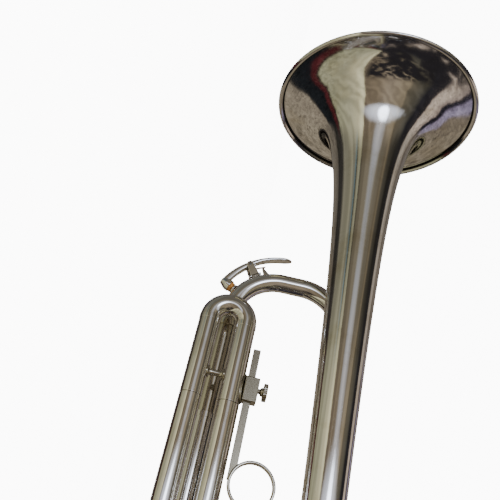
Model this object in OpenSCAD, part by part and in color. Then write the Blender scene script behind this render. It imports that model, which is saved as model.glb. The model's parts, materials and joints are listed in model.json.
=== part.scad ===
// Trumpet: piston-valve brass instrument in playing position.
// Origin: centre of the mouthpiece receiver's mouth. +X runs to the bell,
// +Y to the player's left, +Z up to the finger buttons. Millimetres.

/* [Overall] */
// Receiver mouth to bell rim
total_l = 490; // [480:1:500]
// Bell rim radius, over the bead
bell_r = 65; // [61:0.5:66]
// Leadpipe axis to bell axis, across
bell_y = 38.6; // [38:0.1:40]
// Bell axis below the leadpipe axis
bell_drop = 5; // [3:0.5:7]

/* [Bell flare] */
// Length constant of the flare curve
flare_a = 5.54; // [4:0.02:8]
// Exponent of the flare curve
flare_g = 0.478; // [0.44:0.002:0.52]
// Distance from the rim where the flare curve becomes a straight cone
flare_l = 255; // [240:5:260]
// Outer radius of the bell's small end
bell_tail_r = 6.7; // [6.4:0.1:7]
// Wall of the bell
bell_wall = 0.6; // [0.5:0.1:0.8]
// Radius of the wire rolled into the rim
rim_wire_r = 1.5; // [1.2:0.1:1.8]

/* [Slide tubing] */
// Outer radius of the outer sleeves
sleeve_r = 6.15; // [6.1:0.01:6.2]
// Bore radius of the outer sleeves
sleeve_bore_r = 5.7; // [5.69:0.01:5.72]
// Outer radius of the inner legs
leg_r = 5.65; // [5.62:0.01:5.66]
// Bore radius of the inner legs and bows
leg_bore_r = 5.2; // [5:0.05:5.3]
// Outer radius of the main tuning bow
bow_r = 5.8; // [5.75:0.05:5.9]
// Radius of the ferrules
ferrule_r = 6.55; // [6.4:0.05:6.7]

/* [Main tuning slide] */
// Upper leg to lower leg
tuning_c = 69; // [68:0.5:70]
// Centreline radius of each bow corner
tuning_bend_r = 28.6; // [27:0.2:30]
// Front of the bow's centreline
tuning_front_x = 365; // [360:1:368]
// Front end of the two outer sleeves
tuning_sleeve_x = 273.5; // [270:0.5:276]
// Rear end of the two inner legs
tuning_leg_x = 236; // [234:1:240]

/* [Valves] */
// Valve row, across from the leadpipe axis
valve_y = 18.1; // [18:0.1:18.4]
// First valve's place along the instrument
valve_1_x = 151; // [148:1:152]
// Valve spacing
valve_pitch = 27; // [26.5:0.1:27.5]
// Piston radius
piston_r = 8.5; // [8.4:0.05:8.6]
// Outer radius of the lower casing
casing_r = 9.8; // [9.7:0.05:9.9]
// Outer radius of the upper casing
baluster_r = 10.4; // [10.2:0.05:10.4]
// Full travel of a piston
valve_stroke = 16; // [14:0.5:16]

/* [Third slide] */
// Upper tube's height
third_upper_z = -58.1; // [-59:0.1:-57.5]
// Upper tube to lower tube
third_c = 20.5; // [20:0.1:21]
// Place where the crook's bend begins
third_bend_x = 323.5; // [322:0.5:325]
// Front end of the fixed sleeves
third_sleeve_x = 276.4; // [275:0.2:278]

/* [Finger ring] */
// Place of the ring's centre
ring_x = 238.6; // [237:0.2:240]
// Height of the ring's centre
ring_z = -37.8; // [-38:0.1:-37.4]
// Outer radius of the ring
ring_r = 12.2; // [11.8:0.1:12.4]
// Front end of the rail
rail_front_x = 310; // [305:1:314]
// Place of the rail clamp and its screw
clamp_x = 287; // [285:0.5:289]

/* [Hidden] */
$fn = 64;

fit = 0.02;              // gap between soldered or screwed faces
bell_z = -bell_drop;
third_lower_z = third_upper_z - third_c;
tuning_lower_z = -tuning_c;
valve_2_x = valve_1_x + valve_pitch;
valve_3_x = valve_2_x + valve_pitch;
port_r = 5.2;            // bore of the ports through a casing wall
passage_r = 4.5;         // bore of the passages through a piston
elbow_bend_r = 9;        // bend where a branch turns into a casing
elbow_run = 3;           // straight end of that bend, cut to the casing

// Bell bow and branch
bell_bow_c = 62;
bell_bow_x = 88;
bell_lower_z = bell_z - bell_bow_c;
bell_tube_wall = 0.5;

// Leadpipe and receiver
leadpipe_r = 5.6;
leadpipe_x = [25, 214];
leadpipe_bore = [4.5, 5.2];
receiver_l = 44;
receiver_bore_r = 4.95;
receiver_bore_l = 24;
upper_sleeve_x = 206;

// Valve heights
casing_bottom_z = -101;
baluster_z = -19;
casing_top_z = 26;
casing_bore_r = piston_r + 0.05;
baluster_bore_r = 9.4;
piston_bottom_z = -84;
piston_top_z = -24;
barrel_top_z = 8;
barrel_r = 8;
barrel_bore_r = 6.9;
barrel_lid = 2;
guide_h = 2.5;
guide_w = 3.6;
guide_z = baluster_z;
spring_wire_r = 0.35;
spring_r = 5.4;
spring_turns = 7;
cap_r = 11.2;
cap_top_z = 32;
stem_r = 1.9;
felt_h = 2.5;
felt_z = cap_top_z + valve_stroke + 0.4;
button_z = felt_z + felt_h;
button_h = 4;
button_r = 7;

// Ports: [direction in degrees, height]; the first pair is the open way at rest,
// the next two are the slide's ports, used with the piston down
knuckle_32_z = tuning_lower_z;
knuckle_21_z = -58;
first_slide_z = [-50, -70.5];
second_slide_z = [-52, -73];
ports_1 = [[0, knuckle_21_z], [90, bell_lower_z], [180, first_slide_z[0]], [180, first_slide_z[1]]];
ports_2 = [[0, knuckle_32_z], [180, knuckle_21_z], [270, second_slide_z[0]], [270, second_slide_z[1]]];
ports_3 = [[270, tuning_lower_z], [180, knuckle_32_z], [0, third_upper_z], [0, third_lower_z]];

// First and second slides
first_bend_x = 92;
first_sleeve_x = 104;
first_leg_x = 134;
second_bend_y = -14;
second_sleeve_y = -6;
second_leg_y = 6;

// Third slide
third_leg_x = 228;
third_brace_x = 291.5;

// Clamp, rail and ring
rail_z = [-50.5, -46.4];
rail_t = 2.4;
clamp_l = 15.2;
clamp_w = 7.6;
clamp_z = [-51.5, -43.7];
clamp_gap = 0.1;
screw_r = 1.4;
screw_head_r = 5;
screw_head_z = [-41.1, -38.7];
ring_band = 1.6;
ring_w = 4;

// Water key, laid out round the bow's lower corner
key_centre = [tuning_front_x - tuning_bend_r, 0, tuning_lower_z + tuning_bend_r];
key_pivot_a = -33;
key_pivot_r = 42.6;
key_cork_a = -60;
key_tip_a = 3;
key_r = 45;
key_t = 1.8;
key_w = 5;
key_pin_r = 1;
key_skin_r = tuning_bend_r + bow_r;
key_post_a = -20;        // post of the return spring
key_leaf_r = 39.8;       // underside of the return spring's leaf

// ---- shared shapes ----

// Solid round bar along +X from x0 to x1
module bar_x(x0, x1, r) {
  translate([x0, 0, 0]) rotate([0, 90, 0]) cylinder(r = r, h = x1 - x0);
}

// Straight tube along X
module tube_x(x0, x1, r, bore) {
  difference() {
    bar_x(x0, x1, r);
    bar_x(x0 - 1, x1 + 1, bore);
  }
}

// Tube with a raised ring at its front end
module beaded_tube_x(x0, x1, r, bore, bead = 0.5, bead_l = 3) {
  difference() {
    union() {
      bar_x(x0, x1, r);
      bar_x(x1 - bead_l, x1, r + bead);
    }
    bar_x(x0 - 1, x1 + 1, bore);
  }
}

// Part of a ring-shaped tube in the XZ plane; a0 is measured from +X towards +Z
module bend_xz(bend_r, r, bore, a0, a) {
  rotate([90, 0, 0])
    rotate([0, 0, a0])
      rotate_extrude(angle = a) translate([bend_r, 0]) difference() {
        circle(r = r);
        circle(r = bore);
      }
}

// Everything inside a valve casing's outer wall, for trimming what meets it
module casing_core(x, r = casing_r + fit) {
  translate([x, valve_y, casing_bottom_z]) cylinder(r = r, h = casing_top_z - casing_bottom_z);
}

// Round bar from a casing's axis outwards, at a port's direction and height
module port_bar(port, r, h) {
  translate([0, 0, port[1]]) rotate([0, 0, port[0]]) rotate([0, 90, 0]) cylinder(r = r, h = h);
}

// Branch that runs along X, then turns side (+1 to the left, -1 to the right) into a casing
module branch(x0, bend_x, y, z, side, r, bore) {
  dir = bend_x > x0 ? 1 : -1;
  translate([0, y, z]) {
    if (dir > 0) tube_x(x0, bend_x, r, bore);
    else tube_x(bend_x, x0, r, bore);
    translate([bend_x, side * elbow_bend_r, 0])
      elbow(dir, side, r, bore);
  }
}

// Quarter bend with a short straight end
module elbow(dir, side, r, bore) {
  start = side > 0 ? (dir > 0 ? -90 : 180) : (dir > 0 ? 0 : 90);
  rotate([0, 0, start])
    rotate_extrude(angle = 90) translate([elbow_bend_r, 0]) difference() {
      circle(r = r);
      circle(r = bore);
    }
  translate([dir * elbow_bend_r, 0, 0]) rotate([side > 0 ? -90 : 90, 0, 0]) difference() {
    cylinder(r = r, h = elbow_run);
    translate([0, 0, -1]) cylinder(r = bore, h = elbow_run + 2);
  }
}

// Foot that wraps a tube along X, seen from direction a round X (0 is +Y, 90 is +Z)
module tube_foot(x, tube_r, foot_r, a, t = 0.9) {
  intersection() {
    difference() {
      bar_x(x - foot_r - 1, x + foot_r + 1, tube_r + t);
      bar_x(x - foot_r - 2, x + foot_r + 2, tube_r + fit);
    }
    translate([x, 0, 0]) rotate([a, 0, 0]) rotate([-90, 0, 0]) cylinder(r = foot_r, h = tube_r + t + 2);
  }
}

// ---- bell ----

function flare(t) = bell_r * pow(flare_a / (t + flare_a), flare_g);
bell_tail_t = total_l - bell_bow_x;
function bell_out(t) = t <= flare_l ? flare(t)
  : flare(flare_l) + (bell_tail_r - flare(flare_l)) * (t - flare_l) / (bell_tail_t - flare_l);
function bell_slope(t) = (bell_out(t + 0.01) - bell_out(t)) / 0.01;
// Stations crowd towards the rim, where the curve is tightest
bell_steps = 34;
bell_start_t = 0.45;
function station(i, t0, t1) = t0 + (t1 - t0) * pow(i / bell_steps, t0 < 1 ? 2.2 : 1);
function outer_point(t) = [bell_out(t), t];
function inner_point(t) = let (s = bell_slope(t), n = sqrt(1 + s * s))
  [bell_out(t) - bell_wall / n, t + bell_wall * s / n];

bell_seam_t = 112;       // where the flare is brazed to the stem

// Length of the bell's shell between two distances from the rim
module bell_shell(t0, t1) {
  outer = [for (i = [0:bell_steps]) outer_point(station(i, t0, t1))];
  inner = [for (i = [bell_steps:-1:0]) inner_point(station(i, t0, t1))];
  color("silver")
    translate([total_l, bell_y, bell_z]) rotate([0, -90, 0])
      rotate_extrude($fn = 96) polygon(concat(outer, inner));
}

module bell_flare() { bell_shell(bell_start_t, bell_seam_t); }
module bell_stem() { bell_shell(bell_seam_t + fit, bell_tail_t); }

module bell_rim_wire() {
  color("silver")
    translate([total_l - rim_wire_r, bell_y, bell_z]) rotate([0, 90, 0])
      difference() {
        rotate_extrude($fn = 96) translate([bell_r - rim_wire_r, 0]) circle(r = rim_wire_r, $fn = 32);
        // channel for the edge of the bell, which the rim is rolled over
        translate([0, 0, -rim_wire_r - 1]) cylinder(r = flare(bell_start_t) + 0.05, h = 2 * rim_wire_r + 2);
      }
}

module bell_bow() {
  color("silver")
    translate([bell_bow_x, bell_y, bell_z - bell_bow_c / 2])
      bend_xz(bell_bow_c / 2, bell_tail_r - 0.1, bell_tail_r - 0.1 - bell_tube_wall, 90, 180);
}

module bell_branch() {
  color("silver") difference() {
    branch(bell_bow_x + fit, valve_1_x - elbow_bend_r, bell_y, bell_lower_z, -1,
      leadpipe_r + 0.6, leadpipe_r);
    casing_core(valve_1_x);
  }
}

module tube_ferrules() {
  l = 12;
  on_bend = 1.5;         // how far a ferrule reaches over the start of the bell bow
  on_tube = 6;
  color("silver") {
    for (z = [bell_z, bell_lower_z])
      translate([0, bell_y, z]) tube_x(bell_bow_x - on_bend, bell_bow_x + on_tube, bell_tail_r + 0.75, bell_tail_r + 0.16);
    tube_x(upper_sleeve_x - l, upper_sleeve_x - fit, ferrule_r, leadpipe_r + fit);
  }
}

// ---- leadpipe ----

module mouthpiece_receiver() {
  lip_l = 4;
  color("silver") difference() {
    union() {
      bar_x(0, lip_l, 7.7);
      bar_x(lip_l, receiver_l, 6.9);
      bar_x(receiver_l - lip_l, receiver_l, 7.3);
    }
    bar_x(-1, receiver_bore_l, receiver_bore_r);
    bar_x(receiver_bore_l - 0.5, leadpipe_x[0], leadpipe_bore[0]);
    bar_x(leadpipe_x[0] - fit, receiver_l + 1, leadpipe_r + fit);
  }
}

module leadpipe() {
  color("silver") difference() {
    bar_x(leadpipe_x[0], leadpipe_x[1], leadpipe_r);
    translate([leadpipe_x[0] - 0.5, 0, 0]) rotate([0, 90, 0])
      cylinder(r1 = leadpipe_bore[0], r2 = leadpipe_bore[1], h = leadpipe_x[1] - leadpipe_x[0] + 1);
  }
}

module tuning_sleeve_upper() {
  color("silver") beaded_tube_x(upper_sleeve_x, tuning_sleeve_x, sleeve_r, sleeve_bore_r, 0.4);
}

module tuning_sleeve_lower() {
  color("silver") difference() {
    union() {
      branch(tuning_sleeve_x, valve_3_x + elbow_bend_r, 0, tuning_lower_z, 1, sleeve_r, sleeve_bore_r);
      translate([0, 0, tuning_lower_z]) tube_x(tuning_sleeve_x - 3, tuning_sleeve_x, sleeve_r + 0.4, sleeve_bore_r);
    }
    casing_core(valve_3_x);
  }
}

// Round strut with a foot on the leadpipe side and one on the bell
module bell_brace(x, pipe_r) {
  strut_r = 2.2;
  foot_r = 5;
  bell_here_r = bell_out(total_l - x) + 0.15;
  strut_z = bell_z / 2;
  color("silver") {
    tube_foot(x, pipe_r, foot_r, 0);
    translate([0, bell_y, bell_z]) tube_foot(x, bell_here_r, foot_r, 180);
    difference() {
      translate([x, 0, strut_z]) rotate([-90, 0, 0]) cylinder(r = strut_r, h = bell_y);
      bar_x(x - 10, x + 10, pipe_r + 0.5);
      translate([0, bell_y, bell_z]) bar_x(x - 10, x + 10, bell_here_r + 0.5);
    }
  }
}

module brace_front() { bell_brace(229, sleeve_r); }
module brace_rear() { bell_brace(118, leadpipe_r); }

module pinky_hook() {
  hook_x = 213;
  hook_r = 10;
  hook_t = 1.8;
  hook_w = 5.5;
  color("silver") {
    tube_foot(hook_x, sleeve_r, 6, 90, 1);
    translate([hook_x, 0, sleeve_r + 0.6 + hook_r]) rotate([90, 0, 0]) rotate([0, 0, -90])
      rotate_extrude(angle = 235) translate([hook_r - hook_t, -hook_w / 2]) square([hook_t, hook_w]);
  }
}

// ---- valves ----

module valve_casing(x, ports) {
  color("silver") difference() {
    translate([x, valve_y, 0]) {
      translate([0, 0, casing_bottom_z]) cylinder(r = casing_r, h = baluster_z - casing_bottom_z + 1);
      translate([0, 0, baluster_z - 3]) cylinder(r = baluster_r, h = casing_top_z - baluster_z + 3);
    }
    translate([x, valve_y, casing_bottom_z - 1]) cylinder(r = casing_bore_r, h = casing_top_z - casing_bottom_z + 2);
    translate([x, valve_y, baluster_z]) cylinder(r = baluster_bore_r, h = casing_top_z - baluster_z + 1);
    translate([x, valve_y, 0]) for (p = ports) port_bar(p, port_r, casing_r + 4);
  }
}

module valve_casing_1() { valve_casing(valve_1_x, ports_1); }
module valve_casing_2() { valve_casing(valve_2_x, ports_2); }
module valve_casing_3() { valve_casing(valve_3_x, ports_3); }

// Crossover tubes between neighbouring casings
module valve_knuckles() {
  color("silver") difference() {
    union() {
      translate([0, valve_y, knuckle_21_z]) tube_x(valve_1_x + 6, valve_2_x - 6, 5.8, port_r);
      translate([0, valve_y, knuckle_32_z]) tube_x(valve_2_x + 6, valve_3_x - 6, 5.8, port_r);
    }
    for (x = [valve_1_x, valve_2_x, valve_3_x]) casing_core(x);
  }
}

module each_valve() {
  for (x = [valve_1_x, valve_2_x, valve_3_x]) translate([x, valve_y, 0]) children();
}

module top_caps() {
  skirt_z = 17;
  color("silver") each_valve() difference() {
    union() {
      translate([0, 0, skirt_z]) cylinder(r = cap_r, h = cap_top_z - skirt_z - 2);
      translate([0, 0, cap_top_z - 2]) cylinder(r1 = cap_r, r2 = cap_r - 2, h = 2);
    }
    translate([0, 0, skirt_z - 1]) cylinder(r = baluster_r + fit, h = casing_top_z - skirt_z + 1 + fit);
    translate([0, 0, casing_top_z - 1]) cylinder(r = baluster_bore_r, h = 3.5);
    translate([0, 0, casing_top_z]) cylinder(r = stem_r + 0.6, h = 10);
    for (z = [skirt_z + 2, cap_top_z - 4]) translate([0, 0, z]) rotate_extrude()
      translate([cap_r, 0]) circle(r = 0.5, $fn = 24);
  }
}

module bottom_caps() {
  skirt_z = casing_bottom_z + 8;
  color("silver") each_valve() difference() {
    union() {
      translate([0, 0, casing_bottom_z - 1]) cylinder(r = cap_r - 0.2, h = skirt_z - casing_bottom_z + 1);
      translate([0, 0, casing_bottom_z - 3]) cylinder(r1 = cap_r - 3, r2 = cap_r - 0.2, h = 2);
    }
    translate([0, 0, casing_bottom_z - fit]) cylinder(r = casing_r + fit, h = 10);
    translate([0, 0, casing_bottom_z - 10]) cylinder(r = 1.5, h = 12);
    translate([0, 0, skirt_z - 2]) rotate_extrude() translate([cap_r - 0.2, 0]) circle(r = 0.5, $fn = 24);
  }
}

// Cross bar that rests on the ledge inside the casing and keeps the piston from turning
module valve_guides() {
  color("white") each_valve() intersection() {
    translate([-10, -guide_w / 2, guide_z + fit]) cube([20, guide_w, guide_h]);
    translate([0, 0, guide_z]) cylinder(r = baluster_bore_r - 0.1, h = guide_h + 1);
  }
}

// Points round a coil's wire at turn angle a
function coil_ring(a, z, sides) = [for (k = [0:sides - 1]) let (b = 360 * k / sides, r = spring_r + spring_wire_r * cos(b))
  [r * cos(a), r * sin(a), z + spring_wire_r * sin(b)]];

module valve_spring(x) {
  z0 = guide_z + guide_h + spring_wire_r + 0.1;
  z1 = barrel_top_z - barrel_lid - spring_wire_r - 0.1;
  per_turn = 16;
  sides = 5;
  n = spring_turns * per_turn;
  points = [for (i = [0:n]) each coil_ring(360 * i / per_turn, z0 + (z1 - z0) * i / n, sides)];
  walls = [for (i = [0:n - 1]) for (k = [0:sides - 1]) let (m = (k + 1) % sides)
    [i * sides + k, (i + 1) * sides + k, (i + 1) * sides + m, i * sides + m]];
  ends = [[for (k = [0:sides - 1]) k], [for (k = [sides - 1:-1:0]) n * sides + k]];
  color("gray") translate([x, valve_y, 0]) polyhedron(points, concat(walls, ends));
}

module valve_spring_1() { valve_spring(valve_1_x); }
module valve_spring_2() { valve_spring(valve_2_x); }
module valve_spring_3() { valve_spring(valve_3_x); }

// Bore through a piston between two ports
module passage(p, q) {
  mid = (p[1] + q[1]) / 2;
  for (e = [p, q]) {
    rise = e[1] - mid;
    run = piston_r + 3;
    tilt = atan2(rise * run / piston_r, run);
    translate([0, 0, mid]) rotate([0, 0, e[0]]) rotate([0, 90 - tilt, 0]) cylinder(r = passage_r, h = run);
  }
  translate([0, 0, mid]) sphere(r = passage_r + 0.1);
}

function raised(port) = [port[0], port[1] + valve_stroke];

module piston(x, ports) {
  color("gainsboro") translate([x, valve_y, 0]) difference() {
    union() {
      translate([0, 0, piston_bottom_z]) cylinder(r = piston_r, h = piston_top_z - piston_bottom_z);
      translate([0, 0, piston_top_z - 1]) cylinder(r = barrel_r, h = barrel_top_z - piston_top_z + 1);
    }
    translate([0, 0, piston_top_z + 2]) cylinder(r = barrel_bore_r, h = barrel_top_z - barrel_lid - piston_top_z - 2);
    translate([-12, -guide_w / 2 - 0.2, guide_z - 1.5])
      cube([24, guide_w + 0.4, valve_stroke + guide_h + 3]);
    translate([0, 0, piston_bottom_z - 1]) cylinder(r = 5.5, h = 5);
    passage(ports[0], ports[1]);
    passage(raised(ports[1]), raised(ports[2]));
    passage(raised(ports[0]), raised(ports[3]));
  }
}

module piston_1() { piston(valve_1_x, [ports_1[0], ports_1[1], ports_1[2], ports_1[3]]); }
module piston_2() { piston(valve_2_x, [ports_2[0], ports_2[1], ports_2[2], ports_2[3]]); }
module piston_3() { piston(valve_3_x, [ports_3[0], ports_3[1], ports_3[2], ports_3[3]]); }

module valve_stem(x) {
  color("silver") translate([x, valve_y, 0]) {
    translate([0, 0, barrel_top_z + fit]) cylinder(r = stem_r, h = button_z - barrel_top_z - 2 * fit);
    translate([0, 0, barrel_top_z + fit]) cylinder(r = 4.2, h = 2.5);
  }
}

module valve_stem_1() { valve_stem(valve_1_x); }
module valve_stem_2() { valve_stem(valve_2_x); }
module valve_stem_3() { valve_stem(valve_3_x); }

module finger_button(x) {
  color("silver") translate([x, valve_y, button_z]) difference() {
    union() {
      cylinder(r1 = button_r - 2, r2 = button_r, h = button_h / 2);
      translate([0, 0, button_h / 2]) cylinder(r = button_r, h = button_h / 2);
    }
    translate([0, 0, button_h - 1.2]) cylinder(r = button_r - 1.1, h = 2);
  }
}

module finger_button_1() { finger_button(valve_1_x); }
module finger_button_2() { finger_button(valve_2_x); }
module finger_button_3() { finger_button(valve_3_x); }

// Slightly hollowed disc set into the button
module button_pearl(x) {
  rim = button_r - 1.1 - fit;
  rim_h = 1.6;
  dish = 0.45;
  steps = 6;
  dished = [for (i = [0:steps]) [rim * i / steps, rim_h - dish * (1 - pow(i / steps, 2))]];
  color("ivory") translate([x, valve_y, button_z + button_h - 1.2 + fit])
    rotate_extrude() polygon(concat([[rim, 0], [0, 0]], dished));
}

module button_pearl_1() { button_pearl(valve_1_x); }
module button_pearl_2() { button_pearl(valve_2_x); }
module button_pearl_3() { button_pearl(valve_3_x); }

module button_felt(x) {
  color("darkred") translate([x, valve_y, felt_z]) difference() {
    cylinder(r = 5, h = felt_h - fit);
    translate([0, 0, -1]) cylinder(r = stem_r + fit, h = felt_h + 2);
  }
}

module button_felt_1() { button_felt(valve_1_x); }
module button_felt_2() { button_felt(valve_2_x); }
module button_felt_3() { button_felt(valve_3_x); }

// ---- first slide, pointing back ----

module first_slide_sleeves() {
  color("silver") difference() {
    for (z = first_slide_z) translate([0, valve_y, z]) tube_x(first_sleeve_x, valve_1_x - 6, sleeve_r, sleeve_bore_r);
    casing_core(valve_1_x);
  }
}

module first_slide_tubes() {
  mid_z = (first_slide_z[0] + first_slide_z[1]) / 2;
  color("silver") translate([0, valve_y, 0]) {
    for (z = first_slide_z) translate([0, 0, z]) {
      tube_x(first_bend_x, first_leg_x, leg_r, leg_bore_r);
      tube_x(first_bend_x, first_sleeve_x - 0.3, sleeve_r, leg_r - 0.05);
    }
    translate([first_bend_x, 0, mid_z])
      bend_xz((first_slide_z[0] - first_slide_z[1]) / 2, sleeve_r, leg_bore_r, 90, 180);
  }
}

module thumb_saddle() {
  arc_r = 12;
  t = 1.6;
  w = 9;
  foot_x = 97.5;
  base_z = first_slide_z[0] + sleeve_r + 0.4;
  color("silver") translate([0, valve_y, 0]) {
    translate([0, 0, first_slide_z[0]]) tube_foot(foot_x, sleeve_r, 5, 90);
    translate([foot_x, 0, base_z + arc_r]) rotate([90, 0, 0]) {
      rotate([0, 0, 180]) rotate_extrude(angle = 180) translate([arc_r - t, -w / 2]) square([t, w]);
      for (s = [-1, 1]) translate([s * (arc_r - t / 2) - t / 2, 0, -w / 2]) cube([t, 7, w]);
    }
  }
}

// ---- second slide, pointing right ----

// Turns parts drawn along +X from the second valve's axis so that they point right
module toward_right() {
  translate([valve_2_x, valve_y, 0]) rotate([0, 0, -90]) children();
}

module second_slide_sleeves() {
  color("silver") difference() {
    toward_right() for (z = second_slide_z)
      translate([0, 0, z]) tube_x(6, valve_y - second_sleeve_y, sleeve_r, sleeve_bore_r);
    casing_core(valve_2_x);
  }
}

module second_slide_tubes() {
  mid_z = (second_slide_z[0] + second_slide_z[1]) / 2;
  bend_d = valve_y - second_bend_y;
  color("silver") toward_right() {
    for (z = second_slide_z) translate([0, 0, z]) {
      tube_x(valve_y - second_leg_y, bend_d, leg_r, leg_bore_r);
      tube_x(valve_y - second_sleeve_y + 0.3, bend_d, sleeve_r, leg_r - 0.05);
    }
    translate([bend_d, 0, mid_z])
      bend_xz((second_slide_z[0] - second_slide_z[1]) / 2, sleeve_r, leg_bore_r, -90, 180);
  }
}

module second_slide_knob() {
  mid_z = (second_slide_z[0] + second_slide_z[1]) / 2;
  apex = valve_y - second_bend_y + (second_slide_z[0] - second_slide_z[1]) / 2 + sleeve_r;
  color("silver") toward_right() translate([apex, 0, mid_z]) rotate([0, 90, 0]) difference() {
    union() {
      translate([0, 0, -2]) cylinder(r = 1.8, h = 6);
      translate([0, 0, 3]) cylinder(r1 = 2.4, r2 = 4, h = 2);
      translate([0, 0, 5]) cylinder(r = 4, h = 1.6);
    }
    // seat on the crook
    rotate([0, -90, 0]) translate([-apex + valve_y - second_bend_y, 0, 0])
      bend_xz_solid((second_slide_z[0] - second_slide_z[1]) / 2, sleeve_r + fit);
  }
}

// Solid bar bent round in the XZ plane, for seating parts on a crook
module bend_xz_solid(bend_r, r) {
  rotate([90, 0, 0]) rotate([0, 0, -90]) rotate_extrude(angle = 180) translate([bend_r, 0]) circle(r = r);
}

// ---- third slide, pointing forward ----

module third_slide_sleeves() {
  color("silver") difference() {
    for (z = [third_upper_z, third_lower_z]) translate([0, valve_y, z])
      tube_x(valve_3_x + 6, third_sleeve_x, sleeve_r, sleeve_bore_r);
    casing_core(valve_3_x);
  }
}

module third_slide_legs() {
  color("silver") for (z = [third_upper_z, third_lower_z]) translate([0, valve_y, z])
    tube_x(third_leg_x, third_bend_x - 0.1, leg_r, leg_bore_r);
}

// Outer tubes soldered over the legs, flush with the sleeves
module third_slide_tubes() {
  color("silver") for (z = [third_upper_z, third_lower_z]) translate([0, valve_y, z])
    tube_x(third_sleeve_x + 0.4, third_bend_x - 0.1, sleeve_r, leg_r + fit);
}

module third_slide_crook() {
  collar_l = 3;
  color("silver") translate([0, valve_y, 0]) {
    translate([third_bend_x, 0, third_upper_z - third_c / 2])
      bend_xz(third_c / 2, sleeve_r, leg_bore_r, -90, 180);
    for (z = [third_upper_z, third_lower_z]) translate([0, 0, z])
      tube_x(third_bend_x - collar_l, third_bend_x, sleeve_r + 0.25, sleeve_r + fit);
  }
}

module third_slide_brace() {
  strut_r = 1.6;
  foot_r = 3.4;
  color("silver") translate([0, valve_y, 0]) {
    translate([0, 0, third_upper_z]) tube_foot(third_brace_x, sleeve_r, foot_r, -90, 0.8);
    translate([0, 0, third_lower_z]) tube_foot(third_brace_x, sleeve_r, foot_r, 90, 0.8);
    translate([third_brace_x, 0, third_lower_z + sleeve_r + 0.4])
      cylinder(r = strut_r, h = third_c - 2 * sleeve_r - 0.8);
  }
}

// Block that the rail slides through, on a foot soldered to the upper tube
module ring_clamp() {
  color("silver") translate([0, valve_y, 0]) {
    difference() {
      translate([clamp_x - clamp_l / 2, -clamp_w / 2, clamp_z[0]])
        cube([clamp_l, clamp_w, clamp_z[1] - clamp_z[0]]);
      translate([clamp_x - clamp_l, -rail_t / 2 - clamp_gap, rail_z[0] - clamp_gap])
        cube([2 * clamp_l, rail_t + 2 * clamp_gap, rail_z[1] - rail_z[0] + 2 * clamp_gap]);
      translate([clamp_x, 0, clamp_z[0] + 3]) cylinder(r = screw_r + 0.06, h = 10);
    }
    intersection() {
      difference() {
        translate([0, 0, third_upper_z]) bar_x(clamp_x - clamp_l / 2 - 1.5, clamp_x + clamp_l / 2 + 1.5, sleeve_r + 1);
        translate([0, 0, third_upper_z]) bar_x(clamp_x - clamp_l, clamp_x + clamp_l, sleeve_r + fit);
        translate([clamp_x - clamp_l, -rail_t / 2 - clamp_gap, rail_z[0] - clamp_gap]) cube([2 * clamp_l, rail_t + 2 * clamp_gap, 10]);
      }
      translate([clamp_x - clamp_l, -5.4, third_upper_z]) cube([2 * clamp_l, 10.8, 12]);
    }
  }
}

module ring_rail() {
  rail_back_x = ring_x + 4;
  color("silver") translate([0, valve_y, 0]) difference() {
    translate([rail_back_x, -rail_t / 2, rail_z[0]])
      cube([rail_front_x - rail_back_x, rail_t, rail_z[1] - rail_z[0]]);
    translate([ring_x, ring_w, ring_z]) rotate([90, 0, 0]) cylinder(r = ring_r + fit, h = 2 * ring_w);
  }
}

module finger_ring() {
  corner = 0.5;
  color("silver") translate([ring_x, valve_y, ring_z]) rotate([90, 0, 0]) rotate_extrude() {
    translate([ring_r - ring_band, -ring_w / 2 + corner]) square([ring_band, ring_w - 2 * corner]);
    translate([ring_r - ring_band + corner, -ring_w / 2]) square([ring_band - 2 * corner, ring_w]);
    for (s = [-1, 1]) for (r = [ring_r - corner, ring_r - ring_band + corner])
      translate([r, s * (ring_w / 2 - corner)]) circle(r = corner, $fn = 24);
  }
}

module thumbscrew() {
  color("silver") translate([clamp_x, valve_y, 0]) {
    translate([0, 0, rail_z[1] + 0.04]) cylinder(r = screw_r, h = screw_head_z[0] - rail_z[1]);
    translate([0, 0, screw_head_z[0] - 0.8]) cylinder(r1 = screw_r, r2 = 2.4, h = 0.8);
    difference() {
      translate([0, 0, screw_head_z[0]]) cylinder(r = screw_head_r, h = screw_head_z[1] - screw_head_z[0]);
      // grip flutes round the edge
      for (i = [0:17]) rotate([0, 0, 20 * i]) translate([screw_head_r + 0.25, 0, screw_head_z[0] - 1])
        cylinder(r = 0.6, h = 5, $fn = 16);
    }
  }
}

// ---- main tuning slide ----

module tuning_legs() {
  bend_x = tuning_front_x - tuning_bend_r;
  ferrule_l = 9;
  color("silver") for (z = [0, tuning_lower_z]) translate([0, 0, z]) {
    tube_x(tuning_leg_x, bend_x - 0.1, leg_r, leg_bore_r);
    tube_x(bend_x - ferrule_l, bend_x - 0.1, ferrule_r, leg_r - 0.05);
  }
}

module tuning_bow() {
  bend_x = tuning_front_x - tuning_bend_r;
  color("silver") difference() {
    union() {
      translate([bend_x, 0, -tuning_bend_r]) bend_xz(tuning_bend_r, bow_r, leg_bore_r, 0, 90);
      translate([bend_x, 0, tuning_lower_z + tuning_bend_r]) bend_xz(tuning_bend_r, bow_r, leg_bore_r, -90, 90);
      translate([tuning_front_x, 0, tuning_lower_z + tuning_bend_r]) difference() {
        cylinder(r = bow_r, h = tuning_c - 2 * tuning_bend_r);
        translate([0, 0, -1]) cylinder(r = leg_bore_r, h = tuning_c - 2 * tuning_bend_r + 2);
      }
    }
    // water hole under the cork
    translate(key_centre) rotate([0, -key_cork_a, 0]) bar_x(tuning_bend_r + 2, key_r, 1.8);
  }
}

// ---- water key ----

// Puts children at angle a round the bow's lower corner, +X outwards
module at_key(a, r = 0) {
  translate(key_centre) rotate([0, -a, 0]) translate([r, 0, 0]) children();
}

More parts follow.
